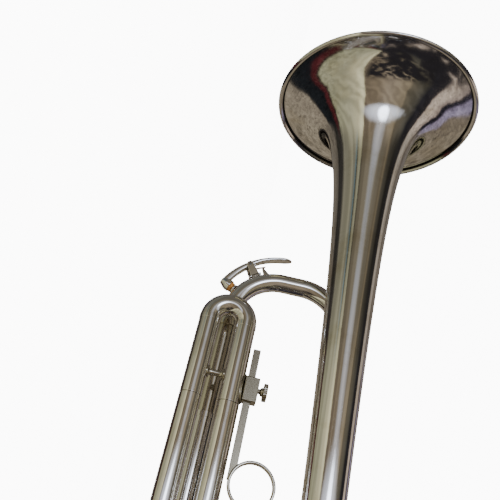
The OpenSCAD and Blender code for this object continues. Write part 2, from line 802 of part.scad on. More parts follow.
module water_key_saddle() {
  post_w = 3.4;
  color("silver") difference() {
    union() {
      // two ears that carry the pivot
      for (s = [-1, 1]) at_key(key_pivot_a, key_skin_r - 1.5) translate([0, s * 3.6 - 0.6, -post_w / 2])
        cube([key_pivot_r - key_skin_r + 3.4, 1.2, post_w]);
      at_key(key_pivot_a, key_skin_r - 1) translate([0, -4.2, -3.4]) cube([1.6, 8.4, 6.8]);
      // nipple round the water hole
      at_key(key_cork_a, key_skin_r - 1.2) rotate([0, 90, 0]) cylinder(r = 3.2, h = 2.4);
      // post that holds the spring's end
      at_key(key_post_a, key_skin_r - 1) translate([0, -1.5, -0.8]) cube([key_leaf_r - key_skin_r + 1, 3, 1.6]);
    }
    translate(key_centre) rotate([90, 0, 0]) rotate([0, 0, -90]) rotate_extrude(angle = 90, $fn = 128)
      translate([tuning_bend_r, 0]) circle(r = bow_r + fit, $fn = 128);
    at_key(key_cork_a, key_skin_r - 3) rotate([0, 90, 0]) cylinder(r = 1.8, h = 8);
    at_key(key_pivot_a, key_pivot_r) rotate([90, 0, 0]) translate([0, 0, -8]) cylinder(r = key_pin_r + 0.01, h = 16);
  }
}

module water_key_screw() {
  color("silver") at_key(key_pivot_a, key_pivot_r) rotate([90, 0, 0]) {
    translate([0, 0, -4.3]) cylinder(r = key_pin_r, h = 8.8);
    difference() {
      translate([0, 0, -5.3]) cylinder(r = 1.7, h = 1);
      translate([-2, -0.25, -5.6]) cube([4, 0.5, 0.8]);
    }
  }
}

module water_key_lever() {
  hub_w = 5.6;
  tip_r = 3;
  color("silver") difference() {
    union() {
      // curved arm over the bow, from the cork to the thumb tip
      translate(key_centre) rotate([90, 0, 0]) rotate([0, 0, key_cork_a - 2])
        rotate_extrude(angle = key_tip_a - key_cork_a + 2, $fn = 96)
          translate([key_r - key_t, -key_w / 2]) square([key_t, key_w]);
      at_key(key_tip_a, key_r - key_t) rotate([0, 90, 0]) cylinder(r = tip_r, h = key_t);
      // hub round the pivot
      at_key(key_pivot_a, key_pivot_r) rotate([90, 0, 0]) translate([0, 0, -hub_w / 2]) cylinder(r = 2, h = hub_w);
      // cup that holds the cork
      at_key(key_cork_a, key_skin_r + 3) rotate([0, 90, 0]) cylinder(r = 3.8, h = key_r - key_t - key_skin_r - 2.9);
    }
    at_key(key_pivot_a, key_pivot_r) rotate([90, 0, 0]) translate([0, 0, -8]) cylinder(r = key_pin_r + 0.05, h = 16);
    at_key(key_cork_a, key_skin_r + 2) rotate([0, 90, 0]) cylinder(r = 3.2, h = 3.6);
  }
}

module water_key_cork() {
  color("peru") at_key(key_cork_a, key_skin_r + 1.25) rotate([0, 90, 0]) cylinder(r = 3.18, h = 4.3);
}

// Leaf of the return spring, from its post back to the underside of the hub
module water_key_spring() {
  reach_a = 12;
  leaf_t = 0.4;
  color("goldenrod") translate(key_centre) rotate([90, 0, 0]) rotate([0, 0, key_post_a + 1.5 - reach_a])
    rotate_extrude(angle = reach_a, $fn = 96) translate([key_leaf_r + fit, -1]) square([leaf_t, 2]);
}

bell_flare();
bell_stem();
bell_rim_wire();
bell_bow();
bell_branch();
tube_ferrules();
mouthpiece_receiver();
leadpipe();
tuning_sleeve_upper();
tuning_sleeve_lower();
brace_front();
brace_rear();
pinky_hook();
valve_casing_1();
valve_casing_2();
valve_casing_3();
valve_knuckles();
top_caps();
bottom_caps();
valve_guides();
valve_spring_1();
valve_spring_2();
valve_spring_3();
piston_1();
piston_2();
piston_3();
valve_stem_1();
valve_stem_2();
valve_stem_3();
finger_button_1();
finger_button_2();
finger_button_3();
button_pearl_1();
button_pearl_2();
button_pearl_3();
button_felt_1();
button_felt_2();
button_felt_3();
first_slide_sleeves();
first_slide_tubes();
thumb_saddle();
second_slide_sleeves();
second_slide_tubes();
second_slide_knob();
third_slide_sleeves();
third_slide_legs();
third_slide_tubes();
third_slide_crook();
third_slide_brace();
ring_clamp();
ring_rail();
finger_ring();
thumbscrew();
tuning_legs();
tuning_bow();
water_key_saddle();
water_key_screw();
water_key_lever();
water_key_cork();
water_key_spring();
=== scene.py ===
"""Looks of a piston-valve trumpet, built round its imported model.

Each sub-assembly is a class that holds its own sizes, in millimetres, builds its surfaces with
numpy and dresses them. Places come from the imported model's boxes. Shapes are surfaces of
revolution, sections carried along a path, or prisms with rounded edges.
"""

import json
import logging
import math
from dataclasses import dataclass, field
from enum import Enum

import bmesh
import bpy
import numpy as np
from mathutils import Matrix, Vector


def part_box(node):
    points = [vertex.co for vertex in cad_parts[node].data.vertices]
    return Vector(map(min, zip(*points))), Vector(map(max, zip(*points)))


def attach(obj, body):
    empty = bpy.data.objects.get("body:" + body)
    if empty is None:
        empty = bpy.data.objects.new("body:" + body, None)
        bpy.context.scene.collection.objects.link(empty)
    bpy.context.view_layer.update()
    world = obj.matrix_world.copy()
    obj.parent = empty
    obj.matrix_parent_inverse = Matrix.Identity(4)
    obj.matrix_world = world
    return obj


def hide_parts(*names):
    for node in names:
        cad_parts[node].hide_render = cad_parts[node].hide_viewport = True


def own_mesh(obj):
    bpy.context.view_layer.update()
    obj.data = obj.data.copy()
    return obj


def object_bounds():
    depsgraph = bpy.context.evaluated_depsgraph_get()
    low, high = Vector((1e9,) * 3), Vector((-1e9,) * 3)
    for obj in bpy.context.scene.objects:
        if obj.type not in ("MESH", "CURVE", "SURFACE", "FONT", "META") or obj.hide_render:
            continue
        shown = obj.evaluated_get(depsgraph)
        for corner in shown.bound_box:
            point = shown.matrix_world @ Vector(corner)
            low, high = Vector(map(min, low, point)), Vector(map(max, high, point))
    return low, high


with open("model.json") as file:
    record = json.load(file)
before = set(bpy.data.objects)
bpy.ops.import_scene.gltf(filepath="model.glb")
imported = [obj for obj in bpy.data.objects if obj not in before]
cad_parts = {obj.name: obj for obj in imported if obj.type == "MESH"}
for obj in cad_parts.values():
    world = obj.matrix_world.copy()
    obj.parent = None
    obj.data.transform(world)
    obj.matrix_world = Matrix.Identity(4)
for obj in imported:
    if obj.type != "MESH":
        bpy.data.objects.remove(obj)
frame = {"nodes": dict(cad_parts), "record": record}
CAD_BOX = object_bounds()

log = logging.getLogger("trumpet")
# lengths in metres; two points closer than the last count as one
MM = 0.001
MICROMETRE = 1e-6
SAME_POINT = 1e-7

Tree = bpy.types.NodeTree
Node = bpy.types.Node
Socket = bpy.types.NodeSocket
Point = tuple[float, float, float]


# ---- node graphs and colour ----

def linear(hex_colour: str) -> tuple[float, float, float, float]:
    """Turns an sRGB hex colour into linear light.

    Args:
        hex_colour: six hex digits after a hash.
    Returns:
        Red, green and blue in linear light, and an alpha of 1.
    """
    share = np.array([int(hex_colour[i:i + 2], 16) / 255 for i in (1, 3, 5)])
    light = np.where(share <= 0.04045, share / 12.92, ((share + 0.055) / 1.055) ** 2.4)
    return (*light.tolist(), 1.0)


def add(tree: Tree, kind: str, links: dict | None = None, **settings) -> Node:
    """Adds one node.

    Args:
        tree: the node tree.
        kind: the node's type name.
        links: input name or number to a socket, which is linked, or to a value, which is set.
        settings: the node's own properties.
    Returns:
        The new node.
    """
    node = tree.nodes.new(kind)
    for name, value in settings.items():
        setattr(node, name, value)
    for key, value in (links or {}).items():
        if isinstance(value, Socket):
            tree.links.new(value, node.inputs[key])
        else:
            node.inputs[key].default_value = value
    return node


def set_ramp(node: Node, stops: list[tuple[float, str]]) -> None:
    """Fills a colour ramp.

    Args:
        node: the ramp's node.
        stops: place from 0 to 1 and hex colour, in order.
    """
    elements = node.color_ramp.elements
    while len(elements) > 1:
        elements.remove(elements[-1])
    elements[0].position, elements[0].color = stops[0][0], linear(stops[0][1])
    for place, colour in stops[1:]:
        elements.new(place).color = linear(colour)


def calc(tree: Tree, operation: str, *values: Socket | float) -> Socket:
    """Adds one step of arithmetic on sockets and numbers, and returns its result."""
    return add(tree, "ShaderNodeMath", dict(enumerate(values)), operation=operation).outputs[0]


def ramp(tree: Tree, value: Socket, low: float, high: float, to_low: float = 0.0,
         to_high: float = 1.0) -> Socket:
    """Adds an even rise from to_low, at the value low, to to_high, at high, and returns its result."""
    return add(tree, "ShaderNodeMapRange", {"Value": value, "From Min": low, "From Max": high,
                                            "To Min": to_low, "To Max": to_high}).outputs["Result"]


def smooth(tree: Tree, value: Socket, none: float, full: float) -> Socket:
    """Adds a soft step that is 0 at the value none and 1 at the value full, and returns its result."""
    return add(tree, "ShaderNodeMapRange", {"Value": value, "From Min": none, "From Max": full},
               interpolation_type="SMOOTHSTEP").outputs["Result"]


def blend(tree: Tree, share: Socket | float, first: Socket | tuple, second: Socket | tuple,
          way: str = "MIX") -> Socket:
    """Adds a colour mix of first and second, and returns its result."""
    return add(tree, "ShaderNodeMix", {"Factor": share, "A": first, "B": second}, data_type="RGBA",
               blend_type=way).outputs["Result"]


def noise(tree: Tree, place: Socket, scale: float, detail: float, **inputs: float) -> Socket:
    """Adds a noise.

    Args:
        tree: the node tree.
        place: where each value is read.
        scale: how many cells fit in a unit of place.
        detail: how many finer layers are added.
        inputs: the node's other inputs, by name.
    Returns:
        The noise, from 0 to 1.
    """
    return add(tree, "ShaderNodeTexNoise",
               {"Vector": place, "Scale": scale, "Detail": detail, **inputs}).outputs["Fac"]


def emboss(tree: Tree, shader: Node, height: Socket, depth: float) -> None:
    """Gives a shader a relief: a height of 1 stands this many micrometres over a height of 0."""
    relief = add(tree, "ShaderNodeBump", {"Height": height, "Strength": 1.0, "Distance": depth * MICROMETRE})
    tree.links.new(relief.outputs["Normal"], shader.inputs["Normal"])


# ---- finishes ----

@dataclass(frozen=True)
class Finish:
    """A plain, even finish: the ground that the others add to.

    Fields give the common name, the record's slot, the colour, metallic, the roughness, the size
    of the finish's grain in millimetres, and how deep that grain is in micrometres.
    """

    name: str
    slot: str
    colour: str
    metallic: float
    roughness: float
    grain: float = 0.3
    depth: float = 4.0

    def material(self) -> bpy.types.Material:
        """Builds the material once, and returns it."""
        found = bpy.data.materials.get(self.name)
        if found:
            return found
        made = bpy.data.materials.new(self.name)
        made.use_nodes = True
        tree = made.node_tree
        shader = tree.nodes["Principled BSDF"]
        shader.inputs["Metallic"].default_value = self.metallic
        shader.inputs["Roughness"].default_value = self.roughness
        shader.inputs["Base Color"].default_value = linear(self.colour)
        place = add(tree, "ShaderNodeTexCoord").outputs["Object"]
        self.paint(tree, shader, place)
        return made

    def paint(self, tree: Tree, shader: Node, place: Socket) -> None:
        """Adds the grain as a relief; a finish with more to show overrides this."""
        emboss(tree, shader, noise(tree, place, 1 / (self.grain * MM), 3.0), self.depth)


@dataclass(frozen=True)
class PolishedPlate(Finish):
    """Metal plated or buffed to a mirror and then wiped and handled for years.

    The eye sees a sharp mirror with fine wipe scratches that cross it, a few dull patches where
    skin and dust have etched it, and a slightly yellower tone in those patches. The scratches
    are really about 0.02 mm wide; they are drawn ten times coarser so that they show. Scratch,
    scratch_run and patch are in millimetres, scratch_depth in micrometres, and dull is what a
    patch adds to the roughness.
    """

    tarnish: str = "#B9AF97"
    scratch: float = 0.2
    scratch_run: float = 9.0
    scratch_depth: float = 0.5
    patch: float = 26.0
    dull: float = 0.10

    def paint(self, tree: Tree, shader: Node, place: Socket) -> None:
        """Adds tarnish patches, crossed wipe scratches and a dull bloom to the mirror."""
        patches = noise(tree, place, 1 / (self.patch * MM), 6.0, Roughness=0.62)
        share = ramp(tree, patches, 0.52, 0.74)
        tone = blend(tree, share, linear(self.colour), linear(self.tarnish))
        tree.links.new(tone, shader.inputs["Base Color"])

        fine, run = 1 / (self.scratch * MM), 1 / (self.scratch_run * MM)
        sets = []
        for turn in (8.0, 41.0, -63.0):
            tilt = (math.radians(turn / 2), math.radians(turn), math.radians(turn))
            lines = add(tree, "ShaderNodeMapping", {"Vector": place, "Rotation": tilt,
                                                    "Scale": (run, fine, fine)})
            sets.append(ramp(tree, noise(tree, lines.outputs["Vector"], 1.0, 1.0), 0.60, 0.78))
        marks = calc(tree, "ADD", calc(tree, "ADD", sets[0], sets[1]), sets[2])
        emboss(tree, shader, marks, self.scratch_depth)

        worn = calc(tree, "MULTIPLY_ADD", marks, 0.10, self.roughness)
        rough = calc(tree, "MULTIPLY_ADD", share, self.dull, worn)
        tree.links.new(rough, shader.inputs["Roughness"])


@dataclass(frozen=True)
class Speckled(Finish):
    """A body of one colour with flecks of another, such as cork, felt or pearl."""

    fleck: str = "#6B4A2A"
    fleck_size: float = 0.8
    sheen: float = 0.0

    def paint(self, tree: Tree, shader: Node, place: Socket) -> None:
        """Adds flecks to the colour and a matching grain to the height."""
        shader.inputs["Sheen Weight"].default_value = self.sheen
        cells = noise(tree, place, 1 / (self.fleck_size * MM), 4.0, Roughness=0.7)
        tone = blend(tree, ramp(tree, cells, 0.45, 0.62), linear(self.colour), linear(self.fleck))
        tree.links.new(tone, shader.inputs["Base Color"])
        emboss(tree, shader, cells, self.depth)


# Silver plate over brass, mopped to a mirror: bright, faintly warm, with wipe scratches.
SILVER_PLATE = PolishedPlate("silver_plate_polished", "silver_plate", "#E2E0DC", 1.0, 0.035,
                             tarnish="#C9C3B4", dull=0.05, scratch_depth=1.6)
# Nickel silver, drawn and buffed: greyer and a little yellow, duller than plate.
NICKEL_SILVER = PolishedPlate("nickel_silver_buffed", "nickel_silver", "#A19B89", 1.0, 0.26,
                              tarnish="#A39A82", patch=14.0, dull=0.14, scratch_depth=0.35)
# The same metal mopped to a shine, for the tubes inside, the ring and the screw.
NICKEL_BRIGHT = PolishedPlate("nickel_silver_polished", "nickel_silver", "#CDC8BB", 1.0, 0.075,
                              tarnish="#A79F8A", patch=14.0, dull=0.08, scratch_depth=0.6)
# Painted shade: a nearly black, matt finish that draws the shadow line in the corner where the rolled rim
# meets the bell.
PAINTED_SHADE = Finish("painted_shade_black", "silver_plate", "#0D0C0B", 0.0, 0.7, grain=0.3, depth=6.0)
# Monel piston, honed round its axis: dull grey with a fine grain.
MONEL = Finish("monel_honed", "piston_monel", "#B5B1A8", 1.0, 0.28, grain=0.25, depth=1.5)
# Drawn steel wire: dark grey, half bright.
STEEL = Finish("spring_steel_drawn", "spring_steel", "#8E8E8C", 1.0, 0.24, grain=0.2, depth=2.0)
# Rolled phosphor bronze strip: orange gold, half bright.
BRONZE = Finish("phosphor_bronze_rolled", "spring_bronze", "#B98A4B", 1.0, 0.26, grain=0.2, depth=2.0)
# Moulded nylon: milky white with an eggshell skin.
NYLON = Finish("nylon_moulded", "guide_nylon", "#E4E1D6", 0.0, 0.42, grain=0.4, depth=6.0)
# Imitation pearl, cast and polished: white with cloudy veins under a gloss.
PEARL = Speckled("pearl_imitation_polished", "button_pearl", "#ECE8DF", 0.0, 0.12, depth=1.0,
                 fleck="#CBC7C9", fleck_size=3.2)
# Pressed wool felt: matt, fibrous, dark red.
FELT = Speckled("wool_felt_pressed", "button_felt", "#7B1F1E", 0.0, 0.95, depth=90.0,
                fleck="#571312", fleck_size=0.7, sheen=0.6)
# Natural cork, cut and sanded: tan with dark pores.
CORK = Speckled("cork_natural_sanded", "cork", "#C48B4A", 0.0, 0.78, depth=60.0,
                fleck="#7A4A1E", fleck_size=0.9)
FINISHES = {f.slot: f for f in (SILVER_PLATE, NICKEL_BRIGHT, MONEL, STEEL, BRONZE, NYLON, PEARL, FELT, CORK)}


# ---- surfaces ----

class Axis(Enum):
    """Direction of a part's own axis: along the horn, across it, or upright."""

    ALONG = ((1, 0, 0), (0, 1, 0), (0, 0, 1))
    ACROSS = ((0, -1, 0), (1, 0, 0), (0, 0, 1))
    UP = ((0, 0, 1), (1, 0, 0), (0, 1, 0))

    @property
    def basis(self) -> np.ndarray:
        """The axis and its two side directions, as rows."""
        return np.array(self.value, float)


@dataclass
class Shell:
    """A closed surface: points in millimetres and the four-sided faces between them."""

    points: np.ndarray
    quads: np.ndarray

    @staticmethod
    def of_grid(grid: np.ndarray, wrap: bool = True) -> "Shell":
        """Joins a grid of points into faces.

        Neighbours along both directions of the grid make a face. The second direction always
        closes on itself; the first does too if wrap is true. Faces are turned so that the signed
        volume, the sum of the corner products a . (b x c) / 6, is positive.

        Args:
            grid: points, rows by columns by 3.
            wrap: whether the last row joins the first.
        Returns:
            The shell.
        """
        rows, columns = grid.shape[:2]
        index = np.arange(rows * columns).reshape(rows, columns)
        if wrap:
            index = np.vstack([index, index[:1]])
        index = np.hstack([index, index[:, :1]])
        quads = np.stack([index[:-1, :-1], index[1:, :-1], index[1:, 1:], index[:-1, 1:]], -1).reshape(-1, 4)
        points = grid.reshape(-1, 3)
        a, b, c, d = (points[quads[:, k]] - points.mean(0) for k in range(4))
        volume = (a * np.cross(b, c)).sum() + (a * np.cross(c, d)).sum()
        return Shell(points, quads if volume > 0 else quads[:, ::-1])


def rounded(outline: list[tuple[float, float]], radius: float | np.ndarray, steps: int = 4) -> np.ndarray:
    """Rounds the corners of a closed outline.

    Each corner P becomes a parabola from S to E, (1-t)^2 S + 2 t (1-t) P + t^2 E, where S and E
    lie on the corner's two sides, at the radius from P or at 0.45 of a shorter side.

    Args:
        outline: the corners, in order.
        radius: how far from a corner its curve starts, for all or for each.
        steps: pieces in each curve.
    Returns:
        The rounded outline's points, n by 2.
    """
    corner = np.array(outline, float)
    back, ahead = np.roll(corner, 1, 0) - corner, np.roll(corner, -1, 0) - corner
    reach = [np.minimum(radius, 0.45 * np.linalg.norm(side, axis=1))[:, None] for side in (back, ahead)]
    start = corner + back / np.linalg.norm(back, axis=1)[:, None] * reach[0]
    end = corner + ahead / np.linalg.norm(ahead, axis=1)[:, None] * reach[1]
    t = np.linspace(0, 1, steps + 1)[None, :, None]
    curve = (1 - t) ** 2 * start[:, None] + 2 * t * (1 - t) * corner[:, None] + t ** 2 * end[:, None]
    return curve.reshape(-1, 2)


def ring_wall(x0: float, x1: float, outer: float, inner: float, edge: float = 0.2) -> np.ndarray:
    """Outline of a straight tube's wall, with rounded edges; see rounded."""
    return rounded([(x0, inner), (x1, inner), (x1, outer), (x0, outer)], edge)


def disc(x0: float, x1: float, radius: float, edge: float = 0.3) -> np.ndarray:
    """Outline of a solid disc from x0 to x1 along its axis, with a rounded rim."""
    rim = rounded([(x0, 0), (x0, radius), (x1, radius), (x1, 0)], edge)
    return np.vstack([[(x0, 0)], rim[rim[:, 1] > edge], [(x1, 0)]])


def turned(outline: np.ndarray, centre: Point, axis: Axis | np.ndarray = Axis.ALONG,
           segments: int = 96, flutes: int = 0, flute_depth: float = 0.0,
           flute_span: tuple[float, float] = (0, 0)) -> Shell:
    """Turns an outline round an axis, as on a lathe.

    The point at (s, r) goes to centre + s * axis + r * (cos a, sin a) for each angle a. Where s is
    within the flutes' span and r is above 0.8 of the largest, r is cut by the flutes' depth times
    the square of sin(a * flutes / 2).

    Args:
        outline: closed outline, (distance along the axis, radius) by rows.
        centre: where the axis starts.
        axis: its direction, or that direction and two across it as rows.
        segments: steps round.
        flutes: number of grip flutes round the edge, or none.
        flute_depth: how deep each is cut.
        flute_span: between which distances along the axis they lie.
    Returns:
        The turned shell.
    """
    along, side, up = axis.basis if isinstance(axis, Axis) else axis
    angle = np.linspace(0, 2 * np.pi, segments, endpoint=False)
    s, r = outline[:, 0][:, None], outline[:, 1][:, None] * np.ones(segments)
    if flutes:
        cut = (s >= flute_span[0]) & (s <= flute_span[1]) & (r > 0.8 * outline[:, 1].max())
        r = r - cut * flute_depth * np.sin(angle * flutes / 2) ** 2
    grid = (np.array(centre) + s[..., None] * along
            + r[..., None] * (np.cos(angle)[:, None] * side + np.sin(angle)[:, None] * up))
    return Shell.of_grid(grid)


def arc_path(centre: np.ndarray, radius: float, start: float, stop: float, steps: int,
             across: Point, up: Point) -> np.ndarray:
    """Points of an arc: centre + radius * (cos a * across + sin a * up), angles in degrees."""
    a = np.radians(np.linspace(start, stop, steps + 1))[:, None]
    return np.array(centre) + radius * (np.cos(a) * np.array(across, float) + np.sin(a) * np.array(up, float))


def swept(path: np.ndarray, normal: Point, section: np.ndarray,
          bore: np.ndarray | None = None, scale: np.ndarray | None = None, closed: bool = False) -> Shell:
    """Carries a section along a path.

    At each path point the section's first number runs along the normal and its second along
    normal x tangent. A bore is a second section that runs back inside the first; without one,
    the ends close on their middle points.

    Args:
        path: the middle line, n by 3, which lies in one plane or leaves it at a small angle.
        normal: that plane's normal.
        section: closed outline, m by 2.
        bore: the inner outline, m by 2, for a tube.
        scale: the section's size at each path point, n by 2; a bore keeps its size.
        closed: whether the path is a loop.
    Returns:
        The swept shell.
    """
    if closed:
        tangent = np.roll(path, -1, 0) - np.roll(path, 1, 0)
    else:
        tangent = np.gradient(path, axis=0)
    tangent = tangent / np.linalg.norm(tangent, axis=1)[:, None]
    across = np.array(normal, float)
    lift = np.cross(across, tangent)
    size = np.ones((len(path), 2)) if scale is None else scale

    def carried(outline: np.ndarray, grown: np.ndarray) -> np.ndarray:
        """Places the outline at every path point, at the size given for that point."""
        first = outline[None, :, 0, None] * grown[:, None, :1] * across
        second = outline[None, :, 1, None] * grown[:, None, 1:] * lift[:, None, :]
        return path[:, None, :] + first + second

    outer = carried(section, size)
    if bore is not None:
        return Shell.of_grid(np.concatenate([outer, carried(bore, np.ones((len(path), 2)))[::-1]]))
    if closed:
        return Shell.of_grid(outer)
    ends = [np.repeat(path[k][None, None, :], len(section), 1) for k in (0, -1)]
    return Shell.of_grid(np.concatenate([ends[0], outer, ends[1]]), wrap=False)


def circle(radius: float, sides: int = 48) -> np.ndarray:
    """Points of a circle round the origin: radius * (cos a, sin a)."""
    a = np.linspace(0, 2 * np.pi, sides, endpoint=False)
    return radius * np.stack([np.cos(a), np.sin(a)], 1)


def rounded_box(width: float, height: float, edge: float) -> np.ndarray:
    """Section of a bar, width by height round the origin, with rounded edges; see rounded."""
    w, h = width / 2, height / 2
    return rounded([(-w, -h), (w, -h), (w, h), (-w, h)], edge)


def piece(name: str, shells: list[Shell], finish: Finish, body: str, replaces: tuple[str, ...] = (),
          flat_above: float = 40.0) -> bpy.types.Object:
    """Makes an object from shells, dresses it and hangs it on its body.

    Args:
        name: the piece's name.
        shells: its closed surfaces.
        finish: what it is made of.
        body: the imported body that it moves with.
        replaces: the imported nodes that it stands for.
        flat_above: edges sharper than this many degrees stay sharp.
    Returns:
        The object.
    """
    starts = np.cumsum([0] + [len(s.points) for s in shells[:-1]])
    points = np.vstack([s.points for s in shells]) * MM
    quads = np.vstack([s.quads + k for s, k in zip(shells, starts)])
    mesh = bpy.data.meshes.new(name)
    mesh.from_pydata(points, [], quads.tolist())
    work = bmesh.new()
    work.from_mesh(mesh)
    bmesh.ops.remove_doubles(work, verts=work.verts, dist=SAME_POINT)
    bmesh.ops.dissolve_degenerate(work, edges=work.edges, dist=SAME_POINT)
    work.to_mesh(mesh)
    work.free()
    mesh.shade_smooth()
    mesh.set_sharp_from_angle(angle=math.radians(flat_above))
    mesh.materials.append(finish.material())
    made = bpy.data.objects.new(name, mesh)
    bpy.context.scene.collection.objects.link(made)
    made.modifiers.new("even_shading", "WEIGHTED_NORMAL").keep_sharp = True
    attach(made, body)
    if replaces:
        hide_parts(*replaces)
    log.info("%s: %d faces in %s on %s", name, len(mesh.polygons), finish.name, body)
    return made


@dataclass(frozen=True)
class Place:
    """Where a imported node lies, in millimetres."""

    low: np.ndarray
    high: np.ndarray

    @staticmethod
    def of(node: str) -> "Place":
        """Reads the node's box."""
        low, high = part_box(node)
        return Place(np.array(low) / MM, np.array(high) / MM)

    @property
    def middle(self) -> np.ndarray:
        """The box's middle."""
        return (self.low + self.high) / 2

    @property
    def size(self) -> np.ndarray:
        """The box's three sides."""
        return self.high - self.low


# ---- bell ----

@dataclass
class Bell:
    """The bell: flare, stem and the wire that the rim is rolled over.

    The flare's radius at a distance t from the rim is rim_r * (a / (t + a)) ^ g, and a straight
    cone runs from there to the tail.
    """

    rim_r: float = 65.0
    a: float = 5.54
    g: float = 0.478
    flare_l: float = 255.0
    tail_r: float = 6.7
    wall: float = 0.6
    wire_r: float = 1.5
    edge_t: float = 0.45
    # the ring of painted shade in the rim's corner: its radius, how far back from the rim, and how far inside
    # the rolled edge
    shade_line_r: float = 0.48
    shade_line_in: float = 1.15
    shade_line_gap: float = 0.22
    crowding: float = 2.4
    stations: int = 120
    segments: int = 240

    def __post_init__(self) -> None:
        """Takes the bell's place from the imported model."""
        rim, stem = Place.of("bell_rim_wire"), Place.of("bell_stem")
        self.rim_x = rim.high[0]
        self.y, self.z = rim.middle[1:]
        self.tail_t = self.rim_x - stem.low[0]

    def radius(self, t: np.ndarray) -> np.ndarray:
        """Outer radius at distances t from the rim; see the class."""
        curve = self.rim_r * (self.a / (np.minimum(t, self.flare_l) + self.a)) ** self.g
        end = self.rim_r * (self.a / (self.flare_l + self.a)) ** self.g
        share = np.clip((t - self.flare_l) / (self.tail_t - self.flare_l), 0, 1)
        return np.where(t <= self.flare_l, curve, end + (self.tail_r - end) * share)

    def outline(self) -> np.ndarray:
        """The sheet's outline: the outer curve, and the same curve one wall inside it.

        Stations crowd towards the rim as a power of an even step.
        """
        step = np.linspace(0, 1, self.stations)
        t = self.edge_t + (self.tail_t - self.edge_t) * step ** self.crowding
        r = self.radius(t)
        near = 0.01
        slope = (self.radius(t + near) - self.radius(t - near)) / (2 * near)
        length = np.sqrt(1 + slope ** 2)
        inner_t, inner_r = t + self.wall * slope / length, r - self.wall / length
        outer = np.stack([self.rim_x - t, r], 1)
        inner = np.stack([self.rim_x - inner_t, inner_r], 1)
        return np.vstack([outer, inner[::-1]])

    def build(self) -> None:
        """Makes the sheet, the rim and the ring of painted shade in the rim's corner."""
        centre = (0, self.y, self.z)
        piece("bell_sheet", [turned(self.outline(), centre, segments=self.segments)], SILVER_PLATE, "horn",
              ("bell_flare", "bell_stem"), flat_above=60)
        middle = np.array([self.rim_x - self.wire_r, self.rim_r - self.wire_r])
        bead = middle + circle(self.wire_r, 40)
        piece("bell_rim", [turned(bead, centre, segments=self.segments)], SILVER_PLATE, "horn",
              ("bell_rim_wire",))
        # painted shade: a black ring in the corner where the rolled edge meets the sheet stands in for the
        # shadow line there
        corner = np.array([self.rim_x - self.shade_line_in, self.rim_r - 2 * self.wire_r - self.shade_line_gap])
        piece("bell_rim_painted_shade", [turned(corner + circle(self.shade_line_r, 20), centre, segments=self.segments)],
              PAINTED_SHADE, "horn")


# ---- shared hardware ----

def lathe_outline(corners: list[tuple[float, float]], edge: float = 0.3) -> np.ndarray:
    """Rounds an outline's corners, apart from those on the axis; see rounded.

    Args:
        corners: (distance along the axis, radius) in order.
        edge: how far from a corner its curve starts.
    Returns:
        The outline.
    """
    radius = np.where(np.array(corners, float)[:, 1] > 0, edge, 0.0)
    return rounded(corners, radius)


def strut(start: Point, stop: Point, tube_r: tuple[float, float],
          waist: float, foot: float, power: float = 6.0, sink: float = 0.25) -> Shell:
    """Round strut between two tubes that run along X, with feet that fit the tubes.

    At a share s from one tube to the other the strut's radius is waist + (foot - waist) *
    |2 s - 1| ^ power. A point at distance q beside the strut's middle starts at the height
    sqrt(R^2 - q^2) over the tube's axis, so the foot's edge lies on the tube.

    Args:
        start: point on the first tube's axis.
        stop: point on the second tube's axis.
        tube_r: the two tubes' radii.
        waist: the strut's radius in the middle.
        foot: its radius at the ends.
        power: how suddenly it widens.
        sink: how far its ends lie under the tubes' skins.
    Returns:
        The strut.
    """
    first, last = np.array(start, float), np.array(stop, float)
    length = np.linalg.norm(last - first)
    lift = (last - first) / length
    side = np.cross(lift, (1.0, 0.0, 0.0))
    share = (1 - np.cos(np.linspace(0, np.pi, 41))) / 2
    radius = waist + (foot - waist) * np.abs(2 * share - 1) ** power
    radius = np.concatenate([[0.0], radius, [0.0]])[:, None]
    share = np.concatenate([[0.0], share, [1.0]])[:, None]
    a = np.linspace(0, 2 * np.pi, 48, endpoint=False)[None, :]
    x, q = radius * np.cos(a), radius * np.sin(a)
    low = np.sqrt(tube_r[0] ** 2 - q ** 2) - sink
    high = length - np.sqrt(tube_r[1] ** 2 - q ** 2) + sink
    height = low + share * (high - low)
    grid = (first + x[..., None] * np.array([1.0, 0, 0]) + q[..., None] * side + height[..., None] * lift)
    return Shell.of_grid(grid, wrap=False)


def saddle_foot(x: float, y: float, z: float, tube_r: float, half_l: float, half_turn: float,
                toward: float, thick: float = 0.9) -> Shell:
    """Thin oval plate that is soldered round a tube that runs along X.

    Its edge is an ellipse on the unrolled tube: x = half_l * p * cos a and angle = half_turn * p *
    sin a, for a share p from the middle. It rises from the tube's skin to its thickness over its
    last tenth.

    Args:
        x: the plate's middle along the tube.
        y: the tube's axis, across.
        z: the tube's axis, upright.
        tube_r: the tube's radius.
        half_l: half the plate's length.
        half_turn: half the angle that it covers, in degrees.
        toward: the direction of its middle round the tube, from +Y towards +Z, in degrees.
        thick: its thickness.
    Returns:
        The plate.
    """
    share = np.array([0, 0.5, 0.98, 1.0, 1.0, 0.97, 0.92, 0.6, 0.3, 0])[:, None]
    height = np.array([-0.2, -0.2, -0.2, -0.1, 0.5, 0.85, 1.0, 1.0, 1.0, 1.0])[:, None] * thick
    a = np.linspace(0, 2 * np.pi, 64, endpoint=False)[None, :]
    along = half_l * share * np.cos(a)
    turn = np.radians(toward + half_turn * share * np.sin(a))
    radius = tube_r + height * np.ones_like(a)
    return Shell.of_grid(np.stack([x + along, y + radius * np.cos(turn), z + radius * np.sin(turn)], -1),
                         wrap=False)


